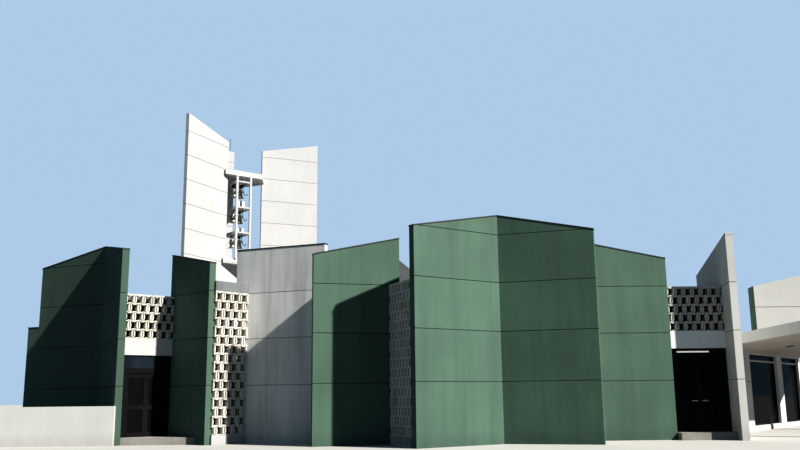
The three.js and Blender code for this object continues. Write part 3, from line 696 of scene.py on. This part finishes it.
# Geometry nodes
class MeshTree(NodeTree):
    """Geometry nodes with named inputs, which end in real faces of the material that they are given."""

    def __init__(self, name, **inputs):
        super().__init__(bpy.data.node_groups.new(name, "GeometryNodeTree"))
        sockets = self.tree.interface
        sockets.new_socket("Geometry", in_out="OUTPUT", socket_type="NodeSocketGeometry")
        for label, kind in (*inputs.items(), ("Material", "Material")):
            sockets.new_socket(label, in_out="INPUT", socket_type="NodeSocket" + kind)
        self.given = self.node("NodeGroupInput").outputs

    def row(self, count, start, step):
        inputs = {"Count": count, "Start Location": start, "Offset": step}
        return self.node("GeometryNodeMeshLine", inputs, mode="OFFSET").outputs[0]

    def copies(self, points, instance, **inputs):
        inputs = {"Points": points, "Instance": instance, **inputs}
        return self.node("GeometryNodeInstanceOnPoints", inputs).outputs[0]

    def model(self, label):
        """The mesh of the object that an input names."""
        return self.node("GeometryNodeObjectInfo", {"Object": self.given[label]}).outputs["Geometry"]

    def real(self, instances):
        return self.node("GeometryNodeRealizeInstances", (instances,)).outputs[0]

    def close(self, instances):
        painted = self.node("GeometryNodeSetMaterial",
                            {"Geometry": self.real(instances), "Material": self.given["Material"]})
        self.node("NodeGroupOutput", (painted.outputs[0],))


class ScreenTree(MeshTree):
    """Lays webs in staggered courses with a wavy band over and under each course."""

    def __init__(self):
        super().__init__("pierced_screen", Web="Object", Pitch="Float", Course="Float", Length="Float",
                         Depth="Float", Top="Float", Courses="Int", Rib="Float", Wave="Float", Width="Float",
                         Seed="Int")
        self.two_down = self.vector(0.0, 0.0, self.maths("MULTIPLY", self.given["Course"], -2.0))
        join = self.node("GeometryNodeJoinGeometry")
        for part in (self.webs(0), self.webs(1), self.bands(0), self.bands(1)):
            self.tree.links.new(part, join.inputs[0])
        self.close(join.outputs[0])

    def height(self, halves, odd):
        """Height of a course's middle (one half) or of the band above it (none), for every second course."""
        down = self.maths("MULTIPLY", self.given["Course"], halves / 2 + odd)
        return self.maths("SUBTRACT", self.given["Top"], down)

    def every_second(self, count_offset, odd):
        """How many even or odd courses there are, out of all courses plus an offset."""
        count = self.maths("ADD", self.given["Courses"], count_offset + (1 - odd))
        return self.maths("FLOOR", self.maths("DIVIDE", count, 2.0))

    def webs(self, odd):
        pitch = self.given["Pitch"]
        fits = self.maths("DIVIDE", self.given["Length"], pitch)
        columns = self.maths("FLOOR", self.maths("ADD", fits, 1.02 - odd / 2))
        start = self.vector(self.maths("MULTIPLY", pitch, odd / 2), 0.0, self.height(1, odd))
        course = self.row(columns, start, self.vector(pitch))
        rows = self.row(self.every_second(0, odd), (0, 0, 0), self.two_down)
        points = self.real(self.copies(rows, course))
        placed = self.copies(points, self.model("Web"), Scale=self.vector(self.given["Width"], 1.0, 1.0))
        seed = self.maths("ADD", self.given["Seed"], odd)
        chance = self.node("FunctionNodeRandomValue", {2: -1.0, 3: 1.0, "Seed": seed}, data_type="FLOAT")
        inputs = {"Geometry": placed, "Name": "tone", "Value": chance.outputs[1]}
        return self.node("GeometryNodeStoreNamedAttribute", inputs, data_type="FLOAT",
                         domain="INSTANCE").outputs[0]

    def bands(self, odd):
        given = self.given
        line = self.node("GeometryNodeCurvePrimitiveLine", {"End": self.vector(given["Length"])})
        count = self.maths("DIVIDE", self.maths("MULTIPLY", given["Length"], 8.0), given["Pitch"])
        fine = self.node("GeometryNodeResampleCurve",
                         {"Curve": line.outputs[0], "Count": self.maths("ADD", count, 1.0)})
        place = self.node("ShaderNodeSeparateXYZ", (self.node("GeometryNodeInputPosition").outputs[0],))
        turns = self.maths("MULTIPLY", self.maths("DIVIDE", place.outputs[0], given["Pitch"]), math.tau)
        rise = self.maths("MULTIPLY", self.maths("COSINE", turns), given["Wave"])
        lift = self.vector(0.0, 0.0, self.maths("MULTIPLY", rise, 1 - 2 * odd))
        moved = self.node("GeometryNodeSetPosition", {"Geometry": fine.outputs[0], "Offset": lift})
        section = self.node("GeometryNodeCurvePrimitiveQuadrilateral",
                            {"Width": given["Depth"], "Height": given["Rib"]})
        rounded = self.node("GeometryNodeFilletCurve", {"Curve": section.outputs[0], "Radius": 0.01},
                            mode="BEZIER")
        inputs = {"Curve": moved.outputs[0], "Profile Curve": rounded.outputs[0], "Fill Caps": True}
        band = self.node("GeometryNodeCurveToMesh", inputs)
        start = self.vector(0.0, self.maths("MULTIPLY", given["Depth"], 0.5), self.height(0, odd))
        rows = self.row(self.every_second(1, odd), start, self.two_down)
        return self.copies(rows, band.outputs[0])


def baked(name, tree, **values):
    """Runs a tree on an empty mesh with its inputs set, and returns the plain mesh."""
    holder = add_object(name, bpy.data.meshes.new(name))
    modifier = holder.modifiers.new("made", "NODES")
    modifier.node_group = tree
    sockets = {item.name: item.identifier for item in tree.interface.items_tree if item.in_out == "INPUT"}
    for label, value in values.items():
        modifier[sockets[label]] = value
    bpy.context.view_layer.update()
    made = holder.evaluated_get(bpy.context.evaluated_depsgraph_get())
    mesh = bpy.data.meshes.new_from_object(made)
    holder.modifiers.clear()
    bpy.data.objects.remove(holder)
    if not mesh.polygons:
        raise RuntimeError(f"{name} came out empty")
    return mesh


# Screens
def web_shape():
    """One web of a screen: a lens in elevation, wider at the back, with a slot down its front."""
    screens = bpy.context.scene.church_screens
    depth = slab_frame("right_entrance_screen")[1].y - screens.inset
    overlap, half_steps = 0.01, 4
    tall = screens.course + 2 * screens.wave - screens.rib + overlap
    slot = screens.slot
    side = [(-1.0, 0.012), (-0.8, 0.0), (-slot, 0.004), (-slot * 0.7, 0.05)]
    side += [(-x, y) for x, y in reversed(side)]
    # Painted shade sits at the slot's bottom and the back corners, and fades out towards the front.
    shaded_corners = (3, 4, 8, 9)
    shape = bmesh.new()
    darkening = shape.verts.layers.float.new("side")
    rings = []
    for step in range(2 * half_steps + 1):
        share = -1 + step / half_steps
        half = screens.web_end + (screens.web - screens.web_end) * (1 - share * share)
        front = [(x * half, screens.inset + y) for x, y in side]
        back = [(half * screens.web_back, depth), (-half * screens.web_back, depth)]
        rings.append([shape.verts.new((x, y, share * tall / 2)) for x, y in front + back])
        for i, vert in enumerate(rings[-1]):
            vert[darkening] = float(i in shaded_corners)
    join_rings(shape, rings, ends=True)
    return add_object("web", to_mesh("web", shape))


def trim(shape, place, outward):
    """Cuts off what stands out past one side of a screen, and closes the cuts."""
    cut = bmesh.ops.bisect_plane(shape, geom=[*shape.verts, *shape.edges, *shape.faces], dist=1e-6,
                                 plane_co=place, plane_no=outward, clear_outer=True)
    rims = [part for part in cut["geom_cut"] if isinstance(part, bmesh.types.BMEdge) and part.is_boundary]
    bmesh.ops.holes_fill(shape, edges=rims, sides=0)


def screen_shape(node, columns, tree, web):
    """A screen's webs and bands, trimmed to its slab, with a plain cap, and a foot where there is room."""
    screens = bpy.context.scene.church_screens
    place, size = slab_frame(node)
    slack, below_top, least_foot = 0.02, 0.002, 0.03
    pitch = size.x / columns
    top = size.z - screens.cap
    courses = int(top / screens.course + slack)
    mesh = baked(node, tree, Web=web, Pitch=pitch, Course=screens.course, Length=size.x, Depth=size.y,
                 Top=top, Courses=courses, Rib=screens.rib, Wave=screens.wave, Width=pitch / screens.course,
                 Seed=screens.seed, Material=finishes["block_concrete"])
    shape = bmesh.new()
    shape.from_mesh(mesh)
    bpy.data.meshes.remove(mesh)
    for corner, outward in (((0, 0, 0), (-1, 0, 0)), ((size.x, 0, 0), (1, 0, 0)), ((0, 0, 0), (0, 0, -1)),
                            ((0, 0, size.z - below_top), (0, 0, 1))):
        trim(shape, corner, outward)
    add_box(shape, (0, 0, top - screens.rib / 2), size, CHAMFER)
    foot = top - courses * screens.course
    if foot > least_foot:
        add_box(shape, (0, 0, 0), (size.x, size.y, foot), 0.008)
    bmesh.ops.transform(shape, matrix=place, verts=shape.verts)
    return shape


class CHURCH_OT_screens(bpy.types.Operator):
    """Build the pierced block screens course by course"""

    bl_idname = "church.screens"
    bl_label = "Block screens"

    def execute(self, context):
        tree = ScreenTree().tree
        web = web_shape()
        for node, columns in SCREEN_COLUMNS.items():
            shape = screen_shape(node, columns, tree, web)
            new_piece(node + "_blocks", shape, "block_concrete", node=node)
        bpy.data.objects.remove(web)
        return {"FINISHED"}


# Doors
LEFT_STILE_SHARE = 0.8
LEAF_GAP = 0.008
RIGHT_LAMP = (9.72, 10.85)
LEFT_LAMP = (0.25, 1.45)
LEFT_LAMP_INWARDS = 0.1


def add_leaf(wood, panes, low, high, stile, doors, matrix=None):
    """Adds a leaf's two stiles and three rails to one shape, and its sunk panes to another."""
    for x0, x1 in ((low.x, low.x + stile), (high.x - stile, high.x)):
        add_box(wood, (x0, low.y, low.z), (x1, high.y, high.z), CHAMFER, matrix)
    edges = [low.z, low.z + doors.knee, high.z - doors.rail]
    inner, outer = low.x + stile, high.x - stile
    for z in edges:
        add_box(wood, (inner, low.y, z), (outer, high.y, z + doors.rail), CHAMFER, matrix)
    for z0, z1 in zip(edges, edges[1:]):
        add_box(panes, (inner, low.y + doors.sink, z0 + doors.rail), (outer, high.y - doors.sink, z1),
                matrix=matrix)


def dress_right_leaves(doors):
    """Two leaves that swing, and the fixed rail over them."""
    for side in ("left", "right"):
        node = "right_door_leaf_" + side
        body = f"right_door_{side}_leaf"
        low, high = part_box(node)
        high.z -= doors.head
        wood, panes = bmesh.new(), bmesh.new()
        add_leaf(wood, panes, low, high, doors.stile, doors)
        new_piece(node + "_frame", wood, "door_paint", body=body, node=node)
        new_piece(node + "_panes", panes, "tinted_glass", body=body)
    low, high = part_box("right_door_leaf_left")[0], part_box("right_door_leaf_right")[1]
    rail = bmesh.new()
    add_box(rail, (low.x, low.y, high.z - doors.head + 0.005), high, CHAMFER)
    new_piece("right_door_head_rail", rail, "door_paint")


def dress_left_doors(doors):
    """Two fixed leaves, and one long pane over them in the dark panel."""
    place, size = slab_frame("left_doors")
    wood, panes = bmesh.new(), bmesh.new()
    for start, end in ((0.0, (size.x - LEAF_GAP) / 2), ((size.x + LEAF_GAP) / 2, size.x)):
        add_leaf(wood, panes, Vector((start, 0, 0)), Vector((end, size.y, size.z)),
                 doors.stile * LEFT_STILE_SHARE, doors, place)
    new_piece("left_doors_frame", wood, "door_paint", node="left_doors")
    new_piece("left_doors_panes", panes, "tinted_glass")
    place, size = slab_frame("left_door_panel")
    top = bmesh.new()
    side_gap, out, sunk, foot, top_gap = 0.1, 0.012, 0.004, 0.47, 0.05
    add_box(top, (side_gap, -out, size.z - foot), (size.x - side_gap, sunk, size.z - top_gap), 0.003, place)
    new_piece("left_transom_pane", top, "transom_glass")


def add_lamp(name, place, start, end, radius):
    """A light tube between two end caps, under a lintel."""
    sides, cap_long, cap_wide, half_back, back_tall = 14, 0.03, 1.3, 0.03, 0.02
    axis = (end - start).normalized()
    tube, caps = bmesh.new(), bmesh.new()
    add_tube(tube, [start, end], radius, sides)
    for point, way in ((start, -1), (end, 1)):
        add_tube(caps, [point, point + axis * way * cap_long], radius * cap_wide, sides)
    low, high = Vector((0, -half_back, radius)), Vector((0, half_back, radius + back_tall))
    add_box(caps, start + low, end + high, 0.003)
    for shape in (tube, caps):
        bmesh.ops.transform(shape, matrix=place, verts=shape.verts)
    new_piece(name, tube, "lamp_tube")
    new_piece(name + "_holder", caps, "zinc_sheet")


class CHURCH_OT_doors(bpy.types.Operator):
    """Build the door leaves with stiles, rails and panes, and the light tubes over them"""

    bl_idname = "church.doors"
    bl_label = "Doors and lamps"

    def execute(self, context):
        doors = context.scene.church_doors
        dress_right_leaves(doors)
        dress_left_doors(doors)
        low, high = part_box("right_lintel")
        for name, place, span, y, z in (
                ("right_lamp", IN_PLACE, RIGHT_LAMP, (low.y + high.y) / 2, low.z - doors.tube_drop),
                ("left_lamp", slab_frame("left_lintel")[0], LEFT_LAMP, LEFT_LAMP_INWARDS, -doors.tube_drop)):
            start, end = (Vector((x, y, z)) for x in span)
            add_lamp(name, place, start, end, doors.tube_radius)
        return {"FINISHED"}


# Roof
def add_fold(shape, line, near, far, first, second):
    """A sheet folded along the middle of a line of three points, from near to far, between two rises."""
    rings = []
    for y in (near, far):
        lower, upper = ([shape.verts.new(point + Vector((0, y, z))) for point in line]
                        for z in (first, second))
        rings.append(lower + upper[::-1])
    join_rings(shape, rings)
    for ring in rings:
        for quad in ((0, 1, 4, 5), (1, 2, 3, 4)):
            shape.faces.new([ring[i] for i in quad])
    turned_out(shape)


def repeated(name, shape, count, step):
    """Repeats a shape along a line and keeps the result as one piece of sheet metal."""
    tree = MeshTree("repeated_" + name, Bar="Object", Count="Int", Step="Vector")
    given = tree.given
    tree.close(tree.copies(tree.row(given["Count"], (0, 0, 0), given["Step"]), tree.model("Bar")))
    bar = add_object(name + "_bar", to_mesh(name, shape))
    made = baked(name, tree.tree, Bar=bar, Count=count, Step=step, Material=finishes["zinc_sheet"])
    bpy.data.objects.remove(bar)
    made.materials.clear()
    place_mesh(name, made, "zinc_sheet")


def add_seams(low, high, roof):
    """Standing seams over both slopes of the roof light."""
    middle, overhang, end_gap = (low.x + high.x) / 2, 0.02, 0.05
    line = [Vector((low.x - overhang, 0, roof.eaves)), Vector((middle, 0, high.z)),
            Vector((high.x + overhang, 0, roof.eaves))]
    shape = bmesh.new()
    add_fold(shape, line, 0.0, roof.seam_width, -0.005, roof.seam_rise)
    bmesh.ops.translate(shape, vec=(0, low.y + end_gap, 0), verts=shape.verts)
    count = int((high.y - low.y - 2 * end_gap) / roof.seam_pitch) + 1
    repeated("roof_light_seams", shape, count, (0, roof.seam_pitch, 0))


def add_ridge(low, high, roof):
    """A folded ridge cap and the eaves trims of the roof light."""
    middle, lap, sheet, past = (low.x + high.x) / 2, 0.22, 0.02, 0.01
    edge_rise, ridge_rise = 0.045, 0.06
    edge = high.z - lap * (high.z - roof.eaves) / (middle - low.x) + edge_rise
    heights = ((middle - lap, edge), (middle, high.z + ridge_rise), (middle + lap, edge))
    shape = bmesh.new()
    add_fold(shape, [Vector((x, 0, z)) for x, z in heights], low.y - past, high.y + past, 0, -sheet)
    half, over, under = 0.04, 0.02, 0.12
    for x in (low.x, high.x):
        add_box(shape, (x - half, low.y - over, roof.eaves - under),
                (x + half, high.y + over, roof.eaves + over), 0.006)
    new_piece("roof_light_ridge", shape, "zinc_sheet")


def add_glazing(low, high, roof):
    """Panes down both sides of the roof light, with bars, sills and heads, and a kerb all round."""
    sill, head, kerb = low.z + 0.45, roof.eaves - 0.2, low.z + 0.15
    end_gap, bar, out, pane_out = 0.3, 0.06, 0.035, 0.015
    trim_gap, trim_tall, past = 0.25, 0.05, 0.03
    bars, panes, trims = bmesh.new(), bmesh.new(), bmesh.new()
    for x, way in ((low.x, -1), (high.x, 1)):
        outer = sorted((x, x + way * out))
        inner = sorted((x, x + way * pane_out))
        add_box(bars, (outer[0], low.y + end_gap, sill), (outer[1], low.y + end_gap + bar, head), CHAMFER)
        add_box(panes, (inner[0], low.y + end_gap, sill), (inner[1], high.y - end_gap, head))
        for z in (sill - trim_tall, head):
            add_box(trims, (outer[0], low.y + trim_gap, z), (outer[1], high.y - trim_gap, z + trim_tall),
                    CHAMFER)
        add_box(trims, (outer[0], low.y - past, low.z), (outer[1], high.y + past, kerb), 0.01)
    for y, way in ((low.y, -1), (high.y, 1)):
        outer = sorted((y, y + way * out))
        add_box(trims, (low.x - past, outer[0], low.z), (high.x + past, outer[1], kerb), 0.01)
    span = high.y - low.y - 2 * end_gap - bar
    count = round(span / roof.pane_pitch) + 1
    repeated("roof_light_bars", bars, count, (0, span / (count - 1), 0))
    new_piece("roof_light_panes", panes, "tinted_glass")
    new_piece("roof_light_trim", trims, "zinc_sheet")


class CHURCH_OT_roof(bpy.types.Operator):
    """Add standing seams, a ridge cap, side glazing and kerb to the roof light"""

    bl_idname = "church.roof"
    bl_label = "Roof"

    def execute(self, context):
        low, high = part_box("roof_light")
        for add in (add_seams, add_ridge, add_glazing):
            add(low, high, context.scene.church_roof)
        return {"FINISHED"}


# Annex and porch
WINDOW_START = Vector((12.05, -6.837, 0))
WINDOW_END = Vector((19.6, 2.75, 0))
WINDOW_SPANS = ((4.15, 8.15), (8.99, 11.95))
WINDOW_SILL, WINDOW_HEAD = 0.2, 3.15
FRAME_WIDE, FRAME_NEAR, FRAME_FAR = 0.06, 0.11, 0.175
TRANSOM, TRANSOM_TALL, TRANSOM_OUT = 2.86, 0.07, 0.02
SOFFIT, SOFFIT_RISE = 3.21, 0.135
DOWNLIGHTS = ((4.38, 1.60), (7.38, 1.60))
LIGHT_RING = [(0.0, 0.0), (0.17, 0.0), (0.17, -0.018), (0.145, -0.026), (0.12, -0.012), (0.0, -0.008)]
LIGHT_LENS = [(0.0, -0.006), (0.11, -0.006), (0.1, -0.014), (0.0, -0.016)]


class CHURCH_OT_annex(bpy.types.Operator):
    """Add the frames and transoms of the annex windows and the lights under the porch roof"""

    bl_idname = "church.annex"
    bl_label = "Annex and porch"

    def execute(self, context):
        place = upright_frame(WINDOW_START, (WINDOW_END - WINDOW_START).normalized())
        bars, transoms, rings, lamps = (bmesh.new() for _ in range(4))
        for start, end in WINDOW_SPANS:
            inner = (start + FRAME_WIDE, end - FRAME_WIDE)
            for x in (start, inner[1]):
                add_box(bars, (x, FRAME_NEAR, WINDOW_SILL), (x + FRAME_WIDE, FRAME_FAR, WINDOW_HEAD),
                        CHAMFER, place)
            for z in (WINDOW_SILL, WINDOW_HEAD - FRAME_WIDE):
                add_box(bars, (inner[0], FRAME_NEAR, z), (inner[1], FRAME_FAR, z + FRAME_WIDE),
                        CHAMFER, place)
            add_box(transoms, (inner[0], FRAME_NEAR - TRANSOM_OUT, TRANSOM),
                    (inner[1], FRAME_FAR, TRANSOM + TRANSOM_TALL), 0.005, place)
        lean = Matrix.Rotation(-math.atan(SOFFIT_RISE), 4, "X")
        for along, out in DOWNLIGHTS:
            spot = place @ Matrix.Translation((along, -out, SOFFIT + out * SOFFIT_RISE)) @ lean
            add_lathe(rings, LIGHT_RING, 28, spot)
            add_lathe(lamps, LIGHT_LENS, 24, spot)
        new_piece("annex_window_bars", bars, "door_paint")
        new_piece("annex_transoms", transoms, "white_paint")
        new_piece("porch_light_rings", turned_out(rings), "black_iron")
        new_piece("porch_light_lenses", turned_out(lamps), "tinted_glass")
        return {"FINISHED"}


# Tower and bells
# Half section of a bell in shares of its mouth and height: down the outside to the lip, then up inside.
BELL_SECTION = (
    (0.0, 0.0), (0.30, 0.0), (0.42, 0.02), (0.50, 0.07), (0.545, 0.16), (0.575, 0.28), (0.61, 0.42),
    (0.655, 0.56), (0.715, 0.70), (0.80, 0.82), (0.90, 0.91), (0.985, 0.97), (1.0, 1.0), (0.90, 1.0),
    (0.80, 0.93), (0.70, 0.80), (0.60, 0.62), (0.53, 0.42), (0.47, 0.22), (0.36, 0.10), (0.0, 0.09),
)
BELL_MOULDINGS = ((0.535, 0.13), (0.565, 0.24), (0.80, 0.82), (0.69, 0.655))
KNOB = [(0.0, 0.06), (0.045, 0.045), (0.06, 0.0), (0.045, -0.045), (0.0, -0.06)]
CLAPPER = [(0.0, 0.05), (0.028, 0.042), (0.045, 0.015), (0.045, -0.015), (0.028, -0.042), (0.0, -0.05)]
# Number of the bell whose beam a drive stands on, and the height of its housing.
DRIVES = ((4, 0.52), (6, 0.34))
DRIVE_LEGS = (((-0.30, -0.14, 0.088), (-0.225, 0.14, 0.14)), ((0.225, -0.14, 0.088), (0.30, 0.14, 0.14)))
DRIVE_PLATE = ((-0.31, -0.16, 0.13), (0.31, 0.16, 0.15))


def bell_place(index):
    """The frame of a bell: its pivot, with X along the pins and Z up."""
    joint = joints[f"bell_{index}_swing"]
    return upright_frame(joint["pos_m"], Vector(joint["axis"]).normalized())


def bell_casting(bells, place):
    """The bell, its raised mouldings and the two loops that it hangs by."""
    shape = bmesh.new()
    sides, sunk, out, rise = 40, 0.006, 0.007, 0.006
    profile = [(wide * bells.mouth, -bells.drop - down * bells.tall) for wide, down in BELL_SECTION]
    add_lathe(shape, profile, sides, place)
    for wide, down in BELL_MOULDINGS:
        radius, height = wide * bells.mouth, -bells.drop - down * bells.tall
        start = (radius - sunk, height - rise)
        add_lathe(shape, [start, (radius + out, height), (radius - sunk, height + rise), start], sides, place)
    near, bulge, foot, half_tall, thick, steps = 0.03, 0.035, 0.005, 0.055, 0.012, 8
    for way in (-1, 1):
        loop = [place @ Vector((way * (near + bulge * math.sin(a)), 0,
                                -bells.drop - foot + half_tall * (1 - math.cos(a))))
                for a in (math.pi * k / steps for k in range(steps + 1))]
        add_tube(shape, loop, thick, 8)
    return turned_out(shape)


def bell_fittings(bells, place, even):
    """The beam that a bell hangs on, with its straps, pins, lever and clapper."""
    shape = bmesh.new()
    half, foot = bells.stock, -bells.drop
    add_box(shape, (-half, -0.045, -0.045), (half, 0.045, 0.09), 0.008, place)
    add_box(shape, (-0.09, -0.03, foot + 0.05), (0.09, 0.03, -0.045), 0.006, place)
    for x in (-0.13, 0.0, 0.13):
        add_box(shape, (x - 0.02, -0.053, -0.053), (x + 0.02, 0.053, 0.098), 0.003, place)
    pin = half + 0.022
    way, reach = (1, bells.arm) if even else (-1, bells.arm * 0.2)
    lever = [(0.10, 0.0), (0.15, -0.20), (0.19, -0.42)]
    hook = ((0.2, -0.62), (0.45, -0.71), (0.75, -0.68), (1, -0.58))
    lever += [(0.20 + reach * share, z) for share, z in hook]
    for path, radius, sides in (
            ([(-pin, 0, 0), (pin, 0, 0)], 0.021, 14),
            ([(way * x, -0.05, z) for x, z in lever], 0.026, 8),
            ([(0, 0, foot - 0.05), (0, 0, foot - bells.tall * 0.86)], 0.011, 8)):
        add_tube(shape, [place @ Vector(point) for point in path], radius, sides)
    add_lathe(shape, KNOB, 12, place @ Matrix.Translation((way * 0.20, -0.05, -0.48)))
    add_lathe(shape, CLAPPER, 16, place @ Matrix.Translation((0, 0, foot - bells.tall * 0.88)))
    return turned_out(shape)


def add_bell_drives():
    """White housings that stand on the beams under the bells on the right."""
    shape = bmesh.new()
    for index, tall in DRIVES:
        place = bell_place(index)
        for low, high in (*DRIVE_LEGS, DRIVE_PLATE, ((-0.30, -0.14, 0.148), (0.30, 0.14, 0.148 + tall))):
            add_box(shape, low, high, 0.008, place)
        add_lathe(shape, [(0.0, 0.0), (0.06, 0.0), (0.06, 0.05), (0.03, 0.07), (0.0, 0.07)], 14,
                  place @ Matrix.Translation((0, 0, 0.146 + tall)))
    new_piece("bell_drives", turned_out(shape), "smooth_white")


def add_tower_rod():
    """A thin rod with a collar, on the back slab."""
    from_corner, tall, thick, collar_rise = Vector((0.32, 0.30, 0.55)), 1.1, 0.016, 0.08
    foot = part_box("tower_slab_back")[1] - from_corner
    shape = bmesh.new()
    add_tube(shape, [foot, foot + UP * tall], thick, 10)
    collar = [(0.0, 0.0), (0.06, 0.0), (0.06, 0.02), (0.02, 0.05), (0.0, 0.05)]
    add_lathe(shape, collar, 16, Matrix.Translation(foot + UP * collar_rise))
    new_piece("tower_rod", turned_out(shape), "black_iron")


class CHURCH_OT_tower(bpy.types.Operator):
    """Cast the bells, hang them with levers and clappers, add their drives and the rod on the back slab"""

    bl_idname = "church.tower"
    bl_label = "Tower and bells"

    def execute(self, context):
        bells = context.scene.church_bells
        for index in range(1, 7):
            place, node, body = bell_place(index), f"bell_{index}", f"swinging_bell_{index}"
            new_piece(node + "_casting", bell_casting(bells, place), "bell_bronze", body=body, node=node)
            fittings = bell_fittings(bells, place, index % 2 == 0)
            new_piece(node + "_fittings", fittings, "black_iron", body)
        add_bell_drives()
        add_tower_rod()
        return {"FINISHED"}


class CHURCH_OT_finishes(bpy.types.Operator):
    """Make the materials and put them on the solids that stay as they are"""

    bl_idname = "church.finishes"
    bl_label = "Finishes"

    def execute(self, context):
        finishes.update(make_finishes())
        for name, node in nodes.items():
            node.data.materials.clear()
            node.data.materials.append(finishes[finish_of(name)])
        return {"FINISHED"}


# Stage
CAMERA_PLACE = (0, -40, 1.575)
CAMERA_TILT = 101.3
CAMERA_ROLL = -0.63
CAMERA_LENS = 38.53
CAMERA_REACH = 500
SUN_DIRECTION = (0.653, -0.430, 0.625)
SUN_COLOUR = (1.0, 0.965, 0.90)
SUN_WIDTH = 1.2
FLOOR_HALF = 260


def add_sun(strength):
    light = bpy.data.lights.new("key", "SUN")
    light.energy = strength
    light.angle = math.radians(SUN_WIDTH)
    light.color = SUN_COLOUR
    add_object("key", light).rotation_euler = Vector(SUN_DIRECTION).to_track_quat("Z", "Y").to_euler()


def make_world(stage):
    """Soft light from all round, and a plain backdrop that only the camera sees."""
    world = bpy.data.worlds.new("studio")
    world.use_nodes = True
    tree = NodeTree(world.node_tree)
    light = world.node_tree.nodes["Background"]
    light.inputs["Color"].default_value = (*stage.sky_colour, 1)
    light.inputs["Strength"].default_value = stage.sky
    backdrop = tree.node("ShaderNodeBackground", {"Color": (*stage.backdrop_colour, 1)})
    seen = tree.node("ShaderNodeLightPath").outputs["Is Camera Ray"]
    both = tree.node("ShaderNodeMixShader", (seen, light.outputs[0], backdrop.outputs[0]))
    tree.put(world.node_tree.nodes["World Output"].inputs["Surface"], both.outputs[0])
    return world


def add_floor(stage):
    """A plain floor just under the part. The camera sees it pale, but it throws little light back."""
    shape = bmesh.new()
    bmesh.ops.create_grid(shape, x_segments=1, y_segments=1, size=FLOOR_HALF)
    paint = Finish("plain_floor", 0.9)
    clouds = paint.fade(paint.noise(0.15, 4), 0.3, 0.7)
    pale = paint.mix(clouds, shade(stage.floor_colour, 0.97), shade(stage.floor_colour, 1.03))
    paint.base(paint.node("ShaderNodeLightPath").outputs["Is Camera Ray"], tuple(stage.bounce_colour), pale)
    floor = add_object("floor", to_mesh("floor", shape))
    floor.data.materials.append(paint.done())
    floor.location.z = -0.002


class CHURCH_OT_stage(bpy.types.Operator):
    """Lay the plain floor, light the scene and place the camera"""

    bl_idname = "church.stage"
    bl_label = "Stage"

    def execute(self, context):
        stage = context.scene.church_stage
        add_floor(stage)
        add_sun(stage.sun)
        context.scene.world = make_world(stage)
        context.scene.view_settings.view_transform = "Standard"
        context.scene.view_settings.look = "Medium High Contrast"
        camera = bpy.data.cameras.new("camera")
        camera.sensor_width = 36
        camera.lens = CAMERA_LENS
        camera.clip_end = CAMERA_REACH
        eye = add_object("camera", camera)
        eye.matrix_world = (Matrix.Translation(CAMERA_PLACE)
                            @ Matrix.Rotation(math.radians(CAMERA_TILT), 4, "X")
                            @ Matrix.Rotation(math.radians(CAMERA_ROLL), 4, "Z"))
        context.scene.camera = eye
        return {"FINISHED"}


OPERATORS = (CHURCH_OT_finishes, CHURCH_OT_walls, CHURCH_OT_copings, CHURCH_OT_screens, CHURCH_OT_doors,
             CHURCH_OT_roof, CHURCH_OT_annex, CHURCH_OT_tower, CHURCH_OT_stage)


class CHURCH_PT_panel(bpy.types.Panel):
    """The church's steps, in the order in which they are built"""

    bl_idname = "CHURCH_PT_panel"
    bl_label = "Church"
    bl_space_type = "VIEW_3D"
    bl_region_type = "UI"
    bl_category = "Church"

    def draw(self, context):
        for operator in OPERATORS:
            self.layout.operator(operator.bl_idname)
        for name in GROUPS:
            box = self.layout.box()
            group = getattr(context.scene, name)
            for setting in group.__annotations__:
                box.prop(group, setting)


def register():
    for name, group in GROUPS.items():
        bpy.utils.register_class(group)
        setattr(bpy.types.Scene, name, PointerProperty(type=group))
    for kind in (*OPERATORS, CHURCH_PT_panel):
        bpy.utils.register_class(kind)


def unregister():
    for kind in (CHURCH_PT_panel, *reversed(OPERATORS)):
        bpy.utils.unregister_class(kind)
    for name, group in GROUPS.items():
        delattr(bpy.types.Scene, name)
        bpy.utils.unregister_class(group)


def main():
    register()
    for operator in OPERATORS:
        group, name = operator.bl_idname.split(".")
        getattr(getattr(bpy.ops, group), name)()


if __name__ == "__main__":
    main()
